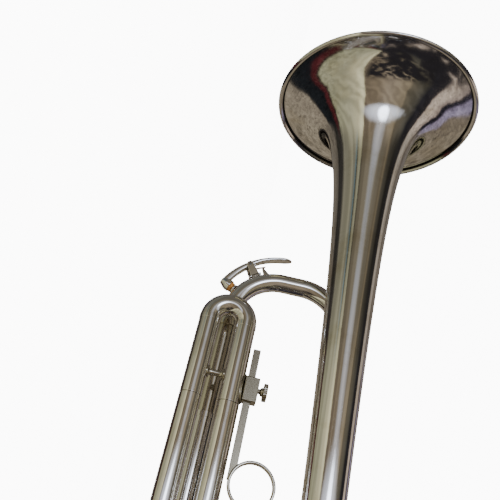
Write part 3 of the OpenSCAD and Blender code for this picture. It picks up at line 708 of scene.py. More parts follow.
def block(low: Point, high: Point, edge: float = 0.5, channel: np.ndarray | None = None) -> Shell:
    """Block with rounded edges: a rounded section along X that shrinks over a quarter circle at each end.

    Args:
        low: its corner with the smallest numbers.
        high: the opposite corner.
        edge: how wide its rounded edges are.
        channel: outline of a hole right through it along X, from its middle. Its first number
            counts to the left, its second downwards.
    Returns:
        The block.
    """
    low, high = np.array(low, float), np.array(high, float)
    size, middle = high - low, (low + high) / 2
    q = np.linspace(0, np.pi / 2, 5)
    run, inset = edge * (1 - np.cos(q)), edge * (1 - np.sin(q))
    x = np.concatenate([low[0] + run, high[0] - run[::-1]])
    inset = np.concatenate([inset, inset[::-1]])
    scale = np.stack([1 - 2 * inset / size[1], 1 - 2 * inset / size[2]], 1)
    path = np.stack([x, np.full_like(x, middle[1]), np.full_like(x, middle[2])], 1)
    return swept(path, (0, 1, 0), rounded_box(size[1], size[2], edge), channel, scale)


def taper_to_tip(steps: int, tip: float, width: tuple[float, float],
                 thick: tuple[float, float]) -> np.ndarray:
    """Sizes of a strip that widens evenly and ends in a half-round tip.

    Over the last share, the width follows sqrt(1 - u^2), where u runs from 0 to 1.

    Args:
        steps: path points.
        tip: share of the path that the round tip takes.
        width: relative width at the start and before the tip.
        thick: relative thickness at the start and at the end.
    Returns:
        Sizes, steps by 2.
    """
    s = np.linspace(0, 1, steps)
    u = np.clip((s - (1 - tip)) / tip, 0, 1)
    wide = (width[0] + (width[1] - width[0]) * s) * np.sqrt(np.maximum(1 - u ** 2, 0.02))
    deep = (thick[0] + (thick[1] - thick[0]) * s) * np.sqrt(np.maximum(1 - 0.7 * u ** 2, 0.02))
    return np.stack([wide, deep], 1)


# ---- main tuning slide ----

@dataclass
class TuningSlide:
    """The main tuning slide: front bow, two legs and their ferrules."""

    leg_r: float = 5.65
    bore_r: float = 5.2
    bow_r: float = 5.8
    bend_r: float = 28.6
    ferrule_r: float = 6.5
    ferrule_l: float = 9.0
    y: float = 0.0

    def __post_init__(self) -> None:
        """Takes the slide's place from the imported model."""
        bow, legs = Place.of("tuning_bow"), Place.of("tuning_legs")
        self.front_x = bow.high[0] - self.bow_r
        self.top_z, self.low_z = bow.high[2] - self.bow_r, bow.low[2] + self.bow_r
        self.bend_x, self.rear_x = self.front_x - self.bend_r, legs.low[0]
        self.corner = np.array([self.bend_x, self.y, self.low_z + self.bend_r])

    def bow_path(self) -> np.ndarray:
        """The bow's middle line: a quarter circle, a short straight and a quarter circle."""
        top = arc_path(np.array([self.bend_x, self.y, self.top_z - self.bend_r]), self.bend_r, 90, 0, 48,
                       (1, 0, 0), (0, 0, 1))
        low = arc_path(self.corner, self.bend_r, 0, -90, 48, (1, 0, 0), (0, 0, 1))
        return np.vstack([top, low])

    def build(self) -> None:
        """Makes the bow, the legs and the ferrules."""
        piece("tuning_bow_tube", [swept(self.bow_path(), (0, 1, 0), circle(self.bow_r), circle(self.bore_r))],
              SILVER_PLATE, "tuning_slide", ("tuning_bow",))
        heights = (self.top_z, self.low_z)
        legs = [turned(ring_wall(self.rear_x, self.bend_x - 0.1, self.leg_r, self.bore_r), (0, self.y, z))
                for z in heights]
        start, bore, lip_r = self.bend_x - self.ferrule_l, self.leg_r - 0.02, self.ferrule_r - 0.35
        ferrule = lathe_outline([(start, bore), (self.bend_x, bore), (self.bend_x, lip_r),
                                 (self.bend_x - 1.4, lip_r), (self.bend_x - 1.6, self.ferrule_r),
                                 (start, self.ferrule_r)], 0.25)
        ferrules = [turned(ferrule, (0, self.y, z)) for z in heights]
        piece("tuning_leg_tubes", legs, NICKEL_BRIGHT, "tuning_slide", ("tuning_legs",))
        piece("tuning_ferrules", ferrules, NICKEL_BRIGHT, "tuning_slide")


@dataclass
class WaterKey:
    """The water key on the bow's lower corner. Angles count round that corner from +X towards +Z."""

    corner: np.ndarray
    skin_r: float
    pivot_a: float = -33.0
    pivot_r: float = 42.6
    cork_a: float = -60.0
    tip_a: float = 3.0
    post_a: float = -20.0
    top_r: float = 45.0
    thick: float = 1.8
    width: float = 5.0
    ear_y: float = 3.6
    ear_w: float = 4.2
    hub_r: float = 2.1
    hub_half: float = 2.8
    cork_r: float = 3.15
    cup_r: float = 3.7

    def basis(self, a: float) -> np.ndarray:
        """Directions at angle a: outwards, to the left, and along the bow."""
        out = np.array([math.cos(math.radians(a)), 0, math.sin(math.radians(a))])
        left = np.array([0.0, 1.0, 0.0])
        return np.stack([out, left, np.cross(out, left)])

    def arc(self, r: float, start: float, stop: float, steps: int = 40) -> np.ndarray:
        """Arc round the bow's corner at radius r."""
        return arc_path(self.corner, r, start, stop, steps, (1, 0, 0), (0, 0, 1))

    def lever(self) -> list[Shell]:
        """The curved arm with its thumb tip, the hub, the web under it and the cork's cup."""
        steps = 64
        s = np.linspace(0, 1, steps)
        thick = np.interp(s, (0, 0.16, 0.42, 0.62, 1), (2.3, 2.2, 1.8, 1.25, 1.0))
        angles = np.radians(self.cork_a - 2 + (self.tip_a - self.cork_a + 2) * s)
        # the cork's end hugs the bow, the thumb's end stands off it
        rise = np.interp(s, (0, 0.45, 1), (-0.9, 0.1, 1.9))
        # each point takes the mean of 13, so that the bends are soft
        rise = np.convolve(np.pad(rise, 6, mode="edge"), np.ones(13) / 13, mode="valid")
        r = self.top_r + rise - self.thick * thick / 2
        path = self.corner + np.stack([r * np.cos(angles), np.zeros(steps), r * np.sin(angles)], 1)
        size = taper_to_tip(steps, 0.12, (0.92, 1.20), (1.0, 1.0))
        size[:, 1] *= thick
        # a round nose over the cup
        nose = 6
        size[:nose] *= np.sqrt(1 - np.linspace(0.95, 0, nose) ** 2)[:, None]
        arm = swept(path, (0, 1, 0), rounded_box(self.width, self.thick, 0.8), scale=size)
        pivot = self.corner + self.pivot_r * self.basis(self.pivot_a)[0]
        hub = turned(disc(-self.hub_half, self.hub_half, self.hub_r), tuple(pivot), Axis.ACROSS, 48)
        gusset = self.arc(self.pivot_r - 0.2, self.pivot_a - 7.5, self.pivot_a + 5.0, 12)
        swell = np.sin(np.linspace(0.6, 2.5, len(gusset)))
        web = swept(gusset, (0, 1, 0), rounded_box(3.4, 2.8, 1.1),
                    scale=np.stack([np.ones_like(swell), swell], 1))
        cup = lathe_outline([(self.skin_r + 3.0, 3.2), (self.skin_r + 5.6, 3.2), (self.skin_r + 5.6, 0),
                             (self.top_r - 0.9, 0), (self.top_r - 0.9, 2.3), (self.skin_r + 5.8, self.cup_r),
                             (self.skin_r + 3.0, self.cup_r)], 0.35)
        return [arm, hub, web, turned(cup, tuple(self.corner), self.basis(self.cork_a), 64)]

    def saddle(self) -> list[Shell]:
        """Two ears with round tops, the plate under them, the nipple and the spring's post."""
        out, left, along = self.basis(self.pivot_a)
        shells, steps = [], 24
        for side in (-1, 1):
            start = self.corner + (self.skin_r - 0.8) * out + side * self.ear_y * left
            reach = np.linspace(0, self.pivot_r - self.skin_r + 2.8, steps)
            path = start + reach[:, None] * out
            size = taper_to_tip(steps, 0.2, (1.0, 1.0), (1.35, 0.9))
            shells.append(swept(path, tuple(left), rounded_box(1.2, self.ear_w, 0.3),
                                scale=np.stack([np.ones(steps), size[:, 1]], 1)))
        plate = swept(self.arc(self.skin_r + 0.05, self.pivot_a - 6.5, self.pivot_a + 6.5, 16), (0, 1, 0),
                      rounded_box(8.4, 1.3, 0.4))
        nipple = lathe_outline([(self.skin_r - 0.4, 1.8), (self.skin_r + 1.2, 1.8), (self.skin_r + 1.2, 2.6),
                                (self.skin_r + 0.2, 3.3), (self.skin_r - 0.4, 3.3)], 0.2)
        shells += [plate, turned(nipple, tuple(self.corner), self.basis(self.cork_a), 64)]
        out, left, along = self.basis(self.post_a)
        reach = np.linspace(0, 5.7, 16)[:, None]
        path = self.corner + (self.skin_r - 0.5 + reach) * out - 0.28 * reach * along
        shells.append(swept(path, tuple(left), rounded_box(3.0, 2.2, 0.3),
                            scale=taper_to_tip(16, 0.10, (1, 0.7), (1.5, 0.35))))
        return shells

    def build(self) -> None:
        """Makes the key's pieces."""
        piece("water_key_arm", self.lever(), SILVER_PLATE, "water_key", ("water_key_lever",))
        piece("water_key_ears", self.saddle(), SILVER_PLATE, "tuning_slide", ("water_key_saddle",))
        low, high = self.skin_r + 1.25, self.skin_r + 5.5
        cork = lathe_outline([(low, 0), (low, self.cork_r), (high, self.cork_r), (high, 0)], 0.4)
        piece("water_key_cork_pad", [turned(cork, tuple(self.corner), self.basis(self.cork_a), 64)], CORK,
              "water_key", ("water_key_cork",))
        pivot = self.corner + self.pivot_r * self.basis(self.pivot_a)[0]
        screw = lathe_outline([(-4.5, 0), (-4.5, 1.0), (4.3, 1.0), (4.3, 1.7), (5.3, 1.5), (5.3, 0)], 0.2)
        piece("water_key_pivot_screw", [turned(screw, tuple(pivot), Axis.ACROSS, 48)], STEEL, "tuning_slide",
              ("water_key_screw",))
        leaf = swept(self.arc(40.0, self.post_a - 10.4, self.post_a + 0.6, 16), (0, 1, 0),
                     rounded_box(2.0, 0.3, 0.12))
        piece("water_key_leaf_spring", [leaf], BRONZE, "tuning_slide", ("water_key_spring",))


# ---- third slide and finger ring ----

@dataclass
class ThirdSlide:
    """The third valve's slide: crook, outer tubes, brace and the ring's clamp."""

    tube_r: float = 6.15
    leg_r: float = 5.65
    bore_r: float = 5.2
    collar: float = 0.16
    collar_l: float = 2.4

    def __post_init__(self) -> None:
        """Takes the slide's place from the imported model."""
        crook, tubes = Place.of("third_slide_crook"), Place.of("third_slide_tubes")
        self.y = crook.middle[1]
        self.top_z, self.low_z = tubes.high[2] - self.tube_r, tubes.low[2] + self.tube_r
        self.bend_r = (self.top_z - self.low_z) / 2
        self.bend_x, self.seam_x = tubes.high[0] + 0.1, tubes.low[0]
        self.brace_x = Place.of("third_slide_brace").middle[0]

    def build(self) -> None:
        """Makes the crook, the tubes, the brace and the clamp."""
        bend = arc_path(np.array([self.bend_x, self.y, self.low_z + self.bend_r]), self.bend_r, 90, -90, 72,
                        (1, 0, 0), (0, 0, 1))
        crook = [swept(bend, (0, 1, 0), circle(self.tube_r), circle(self.bore_r))]
        rim = ring_wall(self.bend_x - self.collar_l, self.bend_x + 0.05, self.tube_r + self.collar,
                        self.tube_r - 0.1, 0.12)
        for z in (self.top_z, self.low_z):
            crook.append(turned(rim, (0, self.y, z)))
        piece("third_crook", crook, SILVER_PLATE, "third_slide", ("third_slide_crook",))
        wall = ring_wall(self.seam_x, self.bend_x - 0.1, self.tube_r, self.leg_r + 0.02, 0.22)
        piece("third_outer_tubes", [turned(wall, (0, self.y, z)) for z in (self.top_z, self.low_z)],
              SILVER_PLATE, "third_slide", ("third_slide_tubes",))
        brace = strut((self.brace_x, self.y, self.low_z), (self.brace_x, self.y, self.top_z),
                      (self.tube_r, self.tube_r), 1.75, 3.4, 5.0)
        feet = [saddle_foot(self.brace_x, self.y, z, self.tube_r, 3.4, 32, turn, 0.7)
                for z, turn in ((self.low_z, 90), (self.top_z, -90))]
        piece("third_brace", [brace, *feet], NICKEL_BRIGHT, "third_slide", ("third_slide_brace",))
        self.build_clamp()

    def build_clamp(self) -> None:
        """Makes the clamp: a block with a channel for the rail, on a foot round the upper tube.

        The block's middle lies a little behind the thumbscrew.
        """
        clamp, rail, screw = Place.of("ring_clamp"), Place.of("ring_rail"), Place.of("thumbscrew")
        length, width, behind, floor = 13.6, 7.6, 0.7, 1.0
        x, low_z = screw.middle[0] - behind, rail.low[2] - floor
        channel = rounded_box(2.64, rail.size[2] + 0.2, 0.2)
        channel[:, 1] -= rail.middle[2] - (clamp.high[2] + low_z) / 2
        body = block((x - length / 2, self.y - width / 2, low_z),
                     (x + length / 2, self.y + width / 2, clamp.high[2]), channel=channel)
        foot = saddle_foot(x, self.y, self.top_z, self.tube_r, 8.4, 40, 90, 0.8)
        piece("ring_clamp_block", [body, foot], NICKEL_SILVER, "third_slide", ("ring_clamp",))


@dataclass
class FingerRing:
    """The ring, its flat rail and the clamp's thumbscrew."""

    band: float = 1.6
    width: float = 4.0

    def build(self) -> None:
        """Makes the three pieces."""
        ring, rail, screw = Place.of("finger_ring"), Place.of("ring_rail"), Place.of("thumbscrew")
        outer_r = ring.size[0] / 2
        path = arc_path(ring.middle, outer_r - self.band / 2, 0, 360, 160, (1, 0, 0), (0, 0, 1))[:-1]
        piece("finger_ring_band", [swept(path, (0, 1, 0), rounded_box(self.width, self.band, 0.75),
                                         closed=True)], NICKEL_BRIGHT, "ring_slide", ("finger_ring",))
        # the rail ends on the ring's outside, at the height of its lower edge
        drop = ring.middle[2] - rail.high[2]
        start = ring.middle[0] + math.sqrt((outer_r - self.band * 0.6) ** 2 - drop ** 2)
        bar = block((start - 0.4, rail.low[1], rail.low[2]), tuple(rail.high), 0.35)
        # the toe fills the corner under the ring: its top follows the ring's outside
        x = np.linspace(ring.middle[0] + 0.5, start + 0.2, 24)
        top = ring.middle[2] - np.sqrt((outer_r - self.band * 0.5) ** 2 - (x - ring.middle[0]) ** 2)
        height = np.minimum(top, rail.high[2]) - rail.low[2]
        path = np.stack([x, np.full_like(x, ring.middle[1]), rail.low[2] + height / 2], 1)
        toe = swept(path, (0, 1, 0), rounded_box(rail.size[1] - 0.02, 1.0, 0.2),
                    scale=np.stack([np.ones_like(x), height], 1))
        piece("ring_rail_bar", [bar, toe], NICKEL_SILVER, "ring_slide", ("ring_rail",))
        head_r, low_z, high_z = screw.size[0] / 2, screw.low[2], screw.high[2]
        head = high_z - 2.4
        grip = (head + 0.3, high_z - 0.3)
        shape = lathe_outline([(low_z, 0), (low_z, 1.4), (head - 1.6, 1.4), (head - 1.2, 2.3), (head, 2.5),
                               (head, head_r), (high_z, head_r), (high_z, 2.6), (high_z - 0.5, 2.2),
                               (high_z - 0.5, 0)], 0.45)
        piece("clamp_thumbscrew", [turned(shape, (screw.middle[0], screw.middle[1], 0), Axis.UP, 216,
                                          flutes=24, flute_depth=0.28, flute_span=grip)],
              NICKEL_BRIGHT, "rail_screw", ("thumbscrew",))


# ---- valves ----

@dataclass
class Valve:
    """One valve's visible pieces, at its own place along the instrument."""

    number: int
    knurls: int = 60
    knurl_depth: float = 0.3
    cap_segments: int = 360

    def __post_init__(self) -> None:
        """Takes the valve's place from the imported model."""
        casing = Place.of(f"valve_casing_{self.number}")
        self.x, self.y = casing.middle[:2]
        self.top_z, self.bottom_z = casing.high[2], casing.low[2]

    def lathe(self, corners: list[tuple[float, float]], edge: float = 0.3, segments: int = 96,
              **flutes) -> Shell:
        """Turns an outline round the valve's own axis."""
        return turned(lathe_outline(corners, edge), (self.x, self.y, 0), Axis.UP, segments, **flutes)

    def top_cap(self) -> Shell:
        """The top cap: knurled skirt, bevelled shoulder and the stem's hole."""
        z = self.top_z
        skirt_r, groove_r, bore_r, inner_r, stem_r = 11.2, 10.8, 10.44, 9.4, 2.5
        return self.lathe([(z - 9, bore_r), (z + 0.05, bore_r), (z + 0.05, inner_r), (z + 2.5, inner_r),
                           (z + 2.5, stem_r), (z + 6, stem_r), (z + 6, 7.2), (z + 5.3, 9.0), (z + 4, 10.9),
                           (z + 2.6, skirt_r), (z + 2.0, groove_r), (z + 1.4, skirt_r), (z - 6.2, skirt_r),
                           (z - 6.8, groove_r), (z - 7.4, skirt_r), (z - 9, skirt_r)], 0.3,
                          self.cap_segments, flutes=self.knurls, flute_depth=self.knurl_depth,
                          flute_span=(z - 5.6, z + 0.8))

    def bottom_cap(self) -> Shell:
        """The bottom cap: knurled skirt, rounded base and the vent hole."""
        z = self.bottom_z
        skirt_r, groove_r, bore_r, vent_r = 11.0, 10.6, 9.84, 1.5
        return self.lathe([(z - 0.05, bore_r), (z + 8, bore_r), (z + 8, skirt_r), (z + 6.6, skirt_r),
                           (z + 6.0, groove_r), (z + 5.4, skirt_r), (z - 0.6, skirt_r), (z - 1.4, 10.4),
                           (z - 3, 8.2), (z - 3, vent_r), (z - 0.05, vent_r)], 0.3,
                          self.cap_segments, flutes=self.knurls, flute_depth=self.knurl_depth,
                          flute_span=(z + 0.2, z + 4.8))

    def build(self) -> None:
        """Makes the button, its pearl, its felt and the valve's spring."""
        button, pearl, felt = (Place.of(f"{part}_{self.number}") for part in
                               ("finger_button", "button_pearl", "button_felt"))
        low, high, r = button.low[2], button.high[2], button.size[0] / 2
        seat = high - 1.2
        piece(f"button_{self.number}", [self.lathe(
            [(low, 0), (low, r - 2.2), (low + 0.6, r - 1.9), (low + 1.8, r - 0.4), (high - 1.4, r), (high, r),
             (high, r - 1.1), (seat, r - 1.1), (seat, 0)], 0.3)], SILVER_PLATE, f"valve_{self.number}",
            (f"finger_button_{self.number}",))
        p_low, p_high, p_r = pearl.low[2], pearl.high[2], pearl.size[0] / 2
        dish = [(p_high - 0.45 * (1 - s ** 2), p_r * s * 0.98) for s in (0.8, 0.6, 0.4, 0.2, 0.0)]
        piece(f"pearl_{self.number}", [self.lathe([(p_low, 0), (p_low, p_r), (p_high, p_r), *dish], 0.25)],
              PEARL, f"valve_{self.number}", (f"button_pearl_{self.number}",))
        f_low, f_high, f_bore, f_r = felt.low[2], felt.high[2], 1.93, 5.0
        piece(f"felt_{self.number}", [self.lathe(
            [(f_low, f_bore), (f_low, f_r), (f_high, f_r), (f_high, f_bore)], 0.6)],
            FELT, f"valve_{self.number}", (f"button_felt_{self.number}",))
        self.build_spring()

    def build_spring(self, wire_r: float = 0.35, turns: int = 7, steps: int = 24) -> None:
        """Makes the coil spring at the imported model's length; the real spring shortens as the piston goes
        down on it, this one keeps its length.

        The wire's middle line is x = r cos a, y = r sin a, z = pitch * a / 2 pi.

        Args:
            wire_r: the wire's radius.
            turns: its turns.
            steps: points of its middle line in a turn.
        """
        name = f"valve_spring_{self.number}"
        box = Place.of(name)
        a = np.linspace(0, math.tau * turns, steps * turns + 1)
        r, length = box.size[1] / 2 - wire_r, box.size[2] - 2 * wire_r
        path = np.stack([self.x + r * np.cos(a), self.y + r * np.sin(a),
                         box.low[2] + wire_r + length * a / a[-1]], 1)
        coil = piece(f"valve_coil_{self.number}", [swept(path, (0, 0, 1), circle(wire_r, 10))], STEEL, "horn",
                     (name,))
        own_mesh(coil)


@dataclass
class ValveGroup:
    """The three valves and their caps."""

    valves: list[Valve] = field(default_factory=lambda: [Valve(n) for n in (1, 2, 3)])

    def build(self) -> None:
        """Makes the caps as two groups, and each valve's own pieces."""
        piece("top_cap_group", [v.top_cap() for v in self.valves], SILVER_PLATE, "horn", ("top_caps",))
        piece("bottom_cap_group", [v.bottom_cap() for v in self.valves], SILVER_PLATE, "horn",
              ("bottom_caps",))
        for valve in self.valves:
            valve.build()


# ---- leadpipe side ----

@dataclass
class Leadpipe:
    """The mouthpiece receiver, the braces to the bell and the little finger's hook."""

    pipe_r: float = 5.6
    sleeve_r: float = 6.15

    def build(self, bell: Bell) -> None:
        """Makes the receiver, both braces and the hook.

        Args:
            bell: the bell that the braces reach.
        """
        box = Place.of("mouthpiece_receiver")
        y, z = box.middle[1:]
        bore, r = 4.95, box.size[1] / 2
        receiver = lathe_outline([(0, bore), (24, bore), (24, 4.5), (25, 4.5), (25, self.pipe_r + 0.02),
                                  (44, self.pipe_r + 0.02), (44, 7.1), (42.6, 7.3), (41.2, 6.9), (40.6, 7.2),
                                  (39.8, 6.7), (6.4, 6.7), (5.6, 7.2), (4.8, 6.9), (4.0, r), (0.6, r),
                                  (0, r - 0.5)], 0.3)
        piece("receiver", [turned(receiver, (0, y, z))], SILVER_PLATE, "horn", ("mouthpiece_receiver",))
        for name, pipe_r in (("brace_front", self.sleeve_r), ("brace_rear", self.pipe_r)):
            x = Place.of(name).middle[0]
            bell_r = float(bell.radius(np.array([bell.rim_x - x]))[0])
            rod = strut((x, y, z), (x, bell.y, bell.z), (pipe_r, bell_r), 2.1, 3.4, 8.0)
            turn = math.degrees(math.atan2(bell.z - z, bell.y - y))
            feet = [saddle_foot(x, y, z, pipe_r, 6.5, 44, turn),
                    saddle_foot(x, bell.y, bell.z, bell_r, 6.5, 36, turn + 180)]
            piece(f"bell_{name}", [rod, *feet], SILVER_PLATE, "horn", (name,))
        self.build_hook(y, z)

    def build_hook(self, y: float, z: float) -> None:
        """Makes the hook: a strip bent to an open ring on a foot round the sleeve."""
        hook = Place.of("pinky_hook")
        ring_r, strip_w, strip_t = 10.0, 5.5, 1.8
        x, centre_z = hook.middle[0], hook.high[2] - ring_r
        path = arc_path(np.array([x, y, centre_z]), ring_r - strip_t / 2, -90, 145, 90, (1, 0, 0), (0, 0, 1))
        strip = swept(path, (0, 1, 0), rounded_box(strip_w, strip_t, 0.8),
                      scale=taper_to_tip(len(path), 0.07, (1.0, 0.82), (1.0, 0.9)))
        foot = saddle_foot(x, y, z, self.sleeve_r, 7.0, 40, 90, 1.0)
        piece("little_finger_hook", [strip, foot], SILVER_PLATE, "horn", ("pinky_hook",))


# ---- first and second slides ----

@dataclass
class ShortSlides:
    """The thumb saddle on the first slide and the knob on the second."""

    tube_r: float = 6.15
    saddle_r: float = 12.0
    strip_t: float = 1.6
    strip_w: float = 9.0
    wall_h: float = 7.0

    def build(self) -> None:
        """Makes the saddle and the knob."""
        box, sleeve = Place.of("thumb_saddle"), Place.of("first_slide_tubes")
        x, y = box.middle[:2]
        arc_z = box.high[2] - self.wall_h
        path = arc_path(np.array([x, y, arc_z]), self.saddle_r - self.strip_t / 2, 180, 360, 60, (1, 0, 0),
                        (0, 0, 1))
        rise = np.linspace(self.wall_h, 0.4, 12)[:, None] * np.array([0, 0, 1.0])
        path = np.vstack([path[0] + rise, path, path[-1] + rise[::-1]])
        # both upper ends of the strip are rounded over
        last = 8
        end = np.sqrt(1 - np.linspace(1, 0, last) ** 2 * 0.9)
        size = np.ones((len(path), 2))
        size[:last, 0], size[-last:, 0] = end, end[::-1]
        strip = swept(path, (0, 1, 0), rounded_box(self.strip_w, self.strip_t, 0.6), scale=size)
        foot = saddle_foot(x, y, sleeve.high[2] - self.tube_r, self.tube_r, 6.0, 42, 90)
        piece("thumb_saddle_strip", [strip, foot], SILVER_PLATE, "first_slide", ("thumb_saddle",))
        knob, crook = Place.of("second_slide_knob"), Place.of("second_slide_tubes")
        reach = crook.low[1] - knob.low[1]
        shape = lathe_outline([(-0.4, 0), (-0.4, 2.6), (0.6, 1.9), (reach - 3.6, 1.8), (reach - 2.0, 3.6),
                               (reach - 1.2, 4.0), (reach - 0.4, 4.0), (reach, 3.4), (reach, 0)], 0.35)
        root = (knob.middle[0], crook.low[1], knob.middle[2])
        piece("second_slide_pull", [turned(shape, root, Axis.ACROSS)], SILVER_PLATE, "second_slide",
              ("second_slide_knob",))


# ---- studio ----

@dataclass
class Studio:
    """A furnished room round the horn, as polished metal mirrors it, a pale floor and the camera.

    The room is a set of long strips that run along the horn, each at its own angle round it: a
    carpet under it, a cloth, a curtain with folds, a wall, a ceiling and a window. Angles are in
    degrees and count from the horn's left side upwards. Two sets of strips blend into each other:
    one for what is beside and behind the metal, one for what is ahead of it.
    """

    beside: tuple[tuple[float, str], ...] = (
        (-180, "#7F7667"), (-156, "#857C6D"), (-130, "#80776A"), (-127.5, "#1E2023"), (-109, "#181A1D"),
        (-107, "#401D20"), (-102, "#4E2427"), (-98.5, "#241D1C"), (-96, "#8B8A72"), (-62, "#A5A289"),
        (-45, "#B6B092"), (-38, "#D8D3B0"), (-32.5, "#D2CCAA"), (-30.5, "#6C6152"), (-10, "#7B6F5D"),
        (12, "#8E8272"), (44, "#857A66"), (48, "#5E584B"), (66, "#514E46"), (76, "#28272B"),
        (90, "#2C292B"), (93, "#B0A296"), (103, "#B9AA9C"), (110, "#93867F"), (112.5, "#1F1E26"),
        (117, "#25232C"), (119, "#857C93"), (126, "#8A829B"), (128.5, "#6B6256"), (148, "#7B7263"),
        (180, "#7F7667"))
    ahead: tuple[tuple[float, str], ...] = (
        (-180, "#6E675B"), (-150, "#6B6458"), (-125, "#5A544C"), (-115, "#2C2A27"), (-98, "#353330"),
        (-92, "#737062"), (-60, "#85826F"), (-50, "#76756A"), (-48, "#617479"), (-46.5, "#617479"),
        (-44, "#35332E"), (-40, "#797764"), (-34, "#8A8872"), (-31, "#47433B"), (-26, "#6A6354"),
        (0, "#6F685A"), (30, "#696356"), (46, "#675D4C"), (53, "#46423A"), (72, "#272523"),
        (88, "#232123"), (94, "#A2988C"), (104, "#8B8278"), (112, "#5F574E"), (132, "#6A635D"),
        (150, "#6E665A"), (180, "#6E675B"))
    room_strength: float = 1.32
    window_glow: tuple[float, float, float, float] = (3.7, 4.1, 5.0, 1.0)
    backdrop_strength: float = 11.0
    floor_size: float = 8.0
    floor_gap: float = 0.0002
    floor_glow: float = 10.4

    def build_room(self) -> None:
        """Builds the world: a white backdrop to the eye, and the room to the metal.

        The angle is turn = atan2(z, y) / 2 pi + 1/2, pushed to and fro by noise; the room's colour
        is a ramp over it, times the pile of the carpet below and the folds of the curtain.
        """
        world = bpy.data.worlds.new("studio_room")
        bpy.context.scene.world = world
        world.use_nodes = True
        tree = world.node_tree
        tree.nodes.clear()
        way = add(tree, "ShaderNodeTexCoord").outputs["Generated"]
        part = add(tree, "ShaderNodeSeparateXYZ", {"Vector": way})
        x, y, z = part.outputs
        waver = noise(tree, way, 3.2, 5.0, Roughness=0.62)
        turn = calc(tree, "MULTIPLY_ADD", calc(tree, "ARCTAN2", z, y), 1 / math.tau, 0.5)
        # things far behind are nearer to the horn's line, so they spread wider round it
        spread = calc(tree, "MULTIPLY_ADD", smooth(tree, x, -0.40, -1.0), -0.27, 1.0)
        wide = calc(tree, "MULTIPLY_ADD", calc(tree, "SUBTRACT", turn, 0.5), spread, 0.5)
        bent = calc(tree, "ADD", wide, calc(tree, "MULTIPLY_ADD", waver, 0.034, -0.017))
        sides = []
        for stops in (self.beside, self.ahead):
            strip = add(tree, "ShaderNodeValToRGB", {"Fac": bent})
            set_ramp(strip, [(place / 360 + 0.5, colour) for place, colour in stops])
            sides.append(strip.outputs["Color"])
        share = smooth(tree, x, 0.24, 0.46)
        strips = blend(tree, share, *sides)
        strips = blend(tree, 1.0, strips, self.texture(tree, way, x, y, bent), "MULTIPLY")
        # what lies far ahead is greyer and dimmer
        strips = blend(tree, calc(tree, "MULTIPLY", smooth(tree, x, 0.50, 0.68), 0.5), strips,
                       linear("#545457"))
        # what lies far behind, along the player's arms, is dim and broken up
        broken = noise(tree, way, 6.0, 4.0, Distortion=1.2)
        dark = calc(tree, "MULTIPLY", smooth(tree, x, -0.66, -0.80), smooth(tree, turn, 0.38, 0.43))
        dark = calc(tree, "MULTIPLY", dark, smooth(tree, broken, 0.66, 0.50))
        strips = blend(tree, dark, strips, linear("#252326"))
        lit = blend(tree, self.window(tree, x, bent, waver), strips, self.window_glow)
        room = add(tree, "ShaderNodeBackground", {"Color": lit, "Strength": self.room_strength})
        backdrop = add(tree, "ShaderNodeBackground", {"Color": (1, 1, 1, 1),
                                                      "Strength": self.backdrop_strength})
        seen = add(tree, "ShaderNodeLightPath").outputs["Is Camera Ray"]
        mixed = add(tree, "ShaderNodeMixShader", {0: seen, 1: room.outputs[0], 2: backdrop.outputs[0]})
        add(tree, "ShaderNodeOutputWorld", {"Surface": mixed.outputs[0]})

    @staticmethod
    def texture(tree: Tree, way: Socket, x: Socket, y: Socket, turn: Socket) -> Socket:
        """Light and dark over the strips: carpet pile under the horn, curtain folds above it.

        The folds are 1 + 0.17 sin(80 turn - 17 x + 16 drape), where drape is a slow noise.

        Args:
            tree: the world's nodes.
            way: the direction looked in.
            x: its share along the horn.
            y: its share to the left.
            turn: the angle round the horn, as a share of a turn.
        Returns:
            A factor, about 1.
        """
        pile = noise(tree, way, 17.0, 7.0, Roughness=0.74, Distortion=1.6)
        tufts = ramp(tree, pile, 0.34, 0.66, 0.22, 1.85)
        drape = noise(tree, way, 2.2, 2.0)
        phase = calc(tree, "ADD", calc(tree, "MULTIPLY", turn, 80.0), calc(tree, "MULTIPLY", x, -17.0))
        phase = calc(tree, "ADD", phase, calc(tree, "MULTIPLY", drape, 16.0))
        folds = calc(tree, "MULTIPLY_ADD", calc(tree, "SINE", phase), 0.17, 1.0)
        return blend(tree, smooth(tree, y, 0.08, -0.16), folds, tufts)

    @staticmethod
    def window(tree: Tree, x: Socket, turn: Socket, waver: Socket) -> Socket:
        """Share of the window in each direction: bright in the middle, with a wide pale bloom.

        With u = (turn - turn0) / width and v = (x - x0) / length, the share falls from 1 to 0 as
        u^2 + v^2 grows to 1. The parts are the middle, its bloom and a faint glow farther ahead. The
        noise is worth 0.45 more or less.

        Args:
            tree: the world's nodes.
            x: the direction's share along the horn.
            turn: the angle round the horn, as a share of a turn.
            waver: a noise that roughens the edge.
        Returns:
            The share, from 0 to 1.
        """
        shares = []
        for turn0, x0, width, length, weight, soft in ((0.533, 0.08, 0.040, 0.13, 1.0, 0.8),
                                                       (0.530, 0.07, 0.120, 0.15, 0.20, 1.0),
                                                       (0.526, 0.33, 0.036, 0.20, 0.065, 1.0)):
            u = calc(tree, "MULTIPLY", calc(tree, "SUBTRACT", turn, turn0), 1 / width)
            v = calc(tree, "MULTIPLY", calc(tree, "SUBTRACT", x, x0), 1 / length)
            far = calc(tree, "ADD", calc(tree, "MULTIPLY", u, u), calc(tree, "MULTIPLY", v, v))
            far = calc(tree, "MULTIPLY_ADD", waver, 0.9, calc(tree, "SUBTRACT", far, 0.45))
            shares.append(calc(tree, "MULTIPLY", smooth(tree, far, 1.0 + soft / 2, 1.0 - soft), weight))
        return calc(tree, "MAXIMUM", calc(tree, "MAXIMUM", *shares[:2]), shares[2])

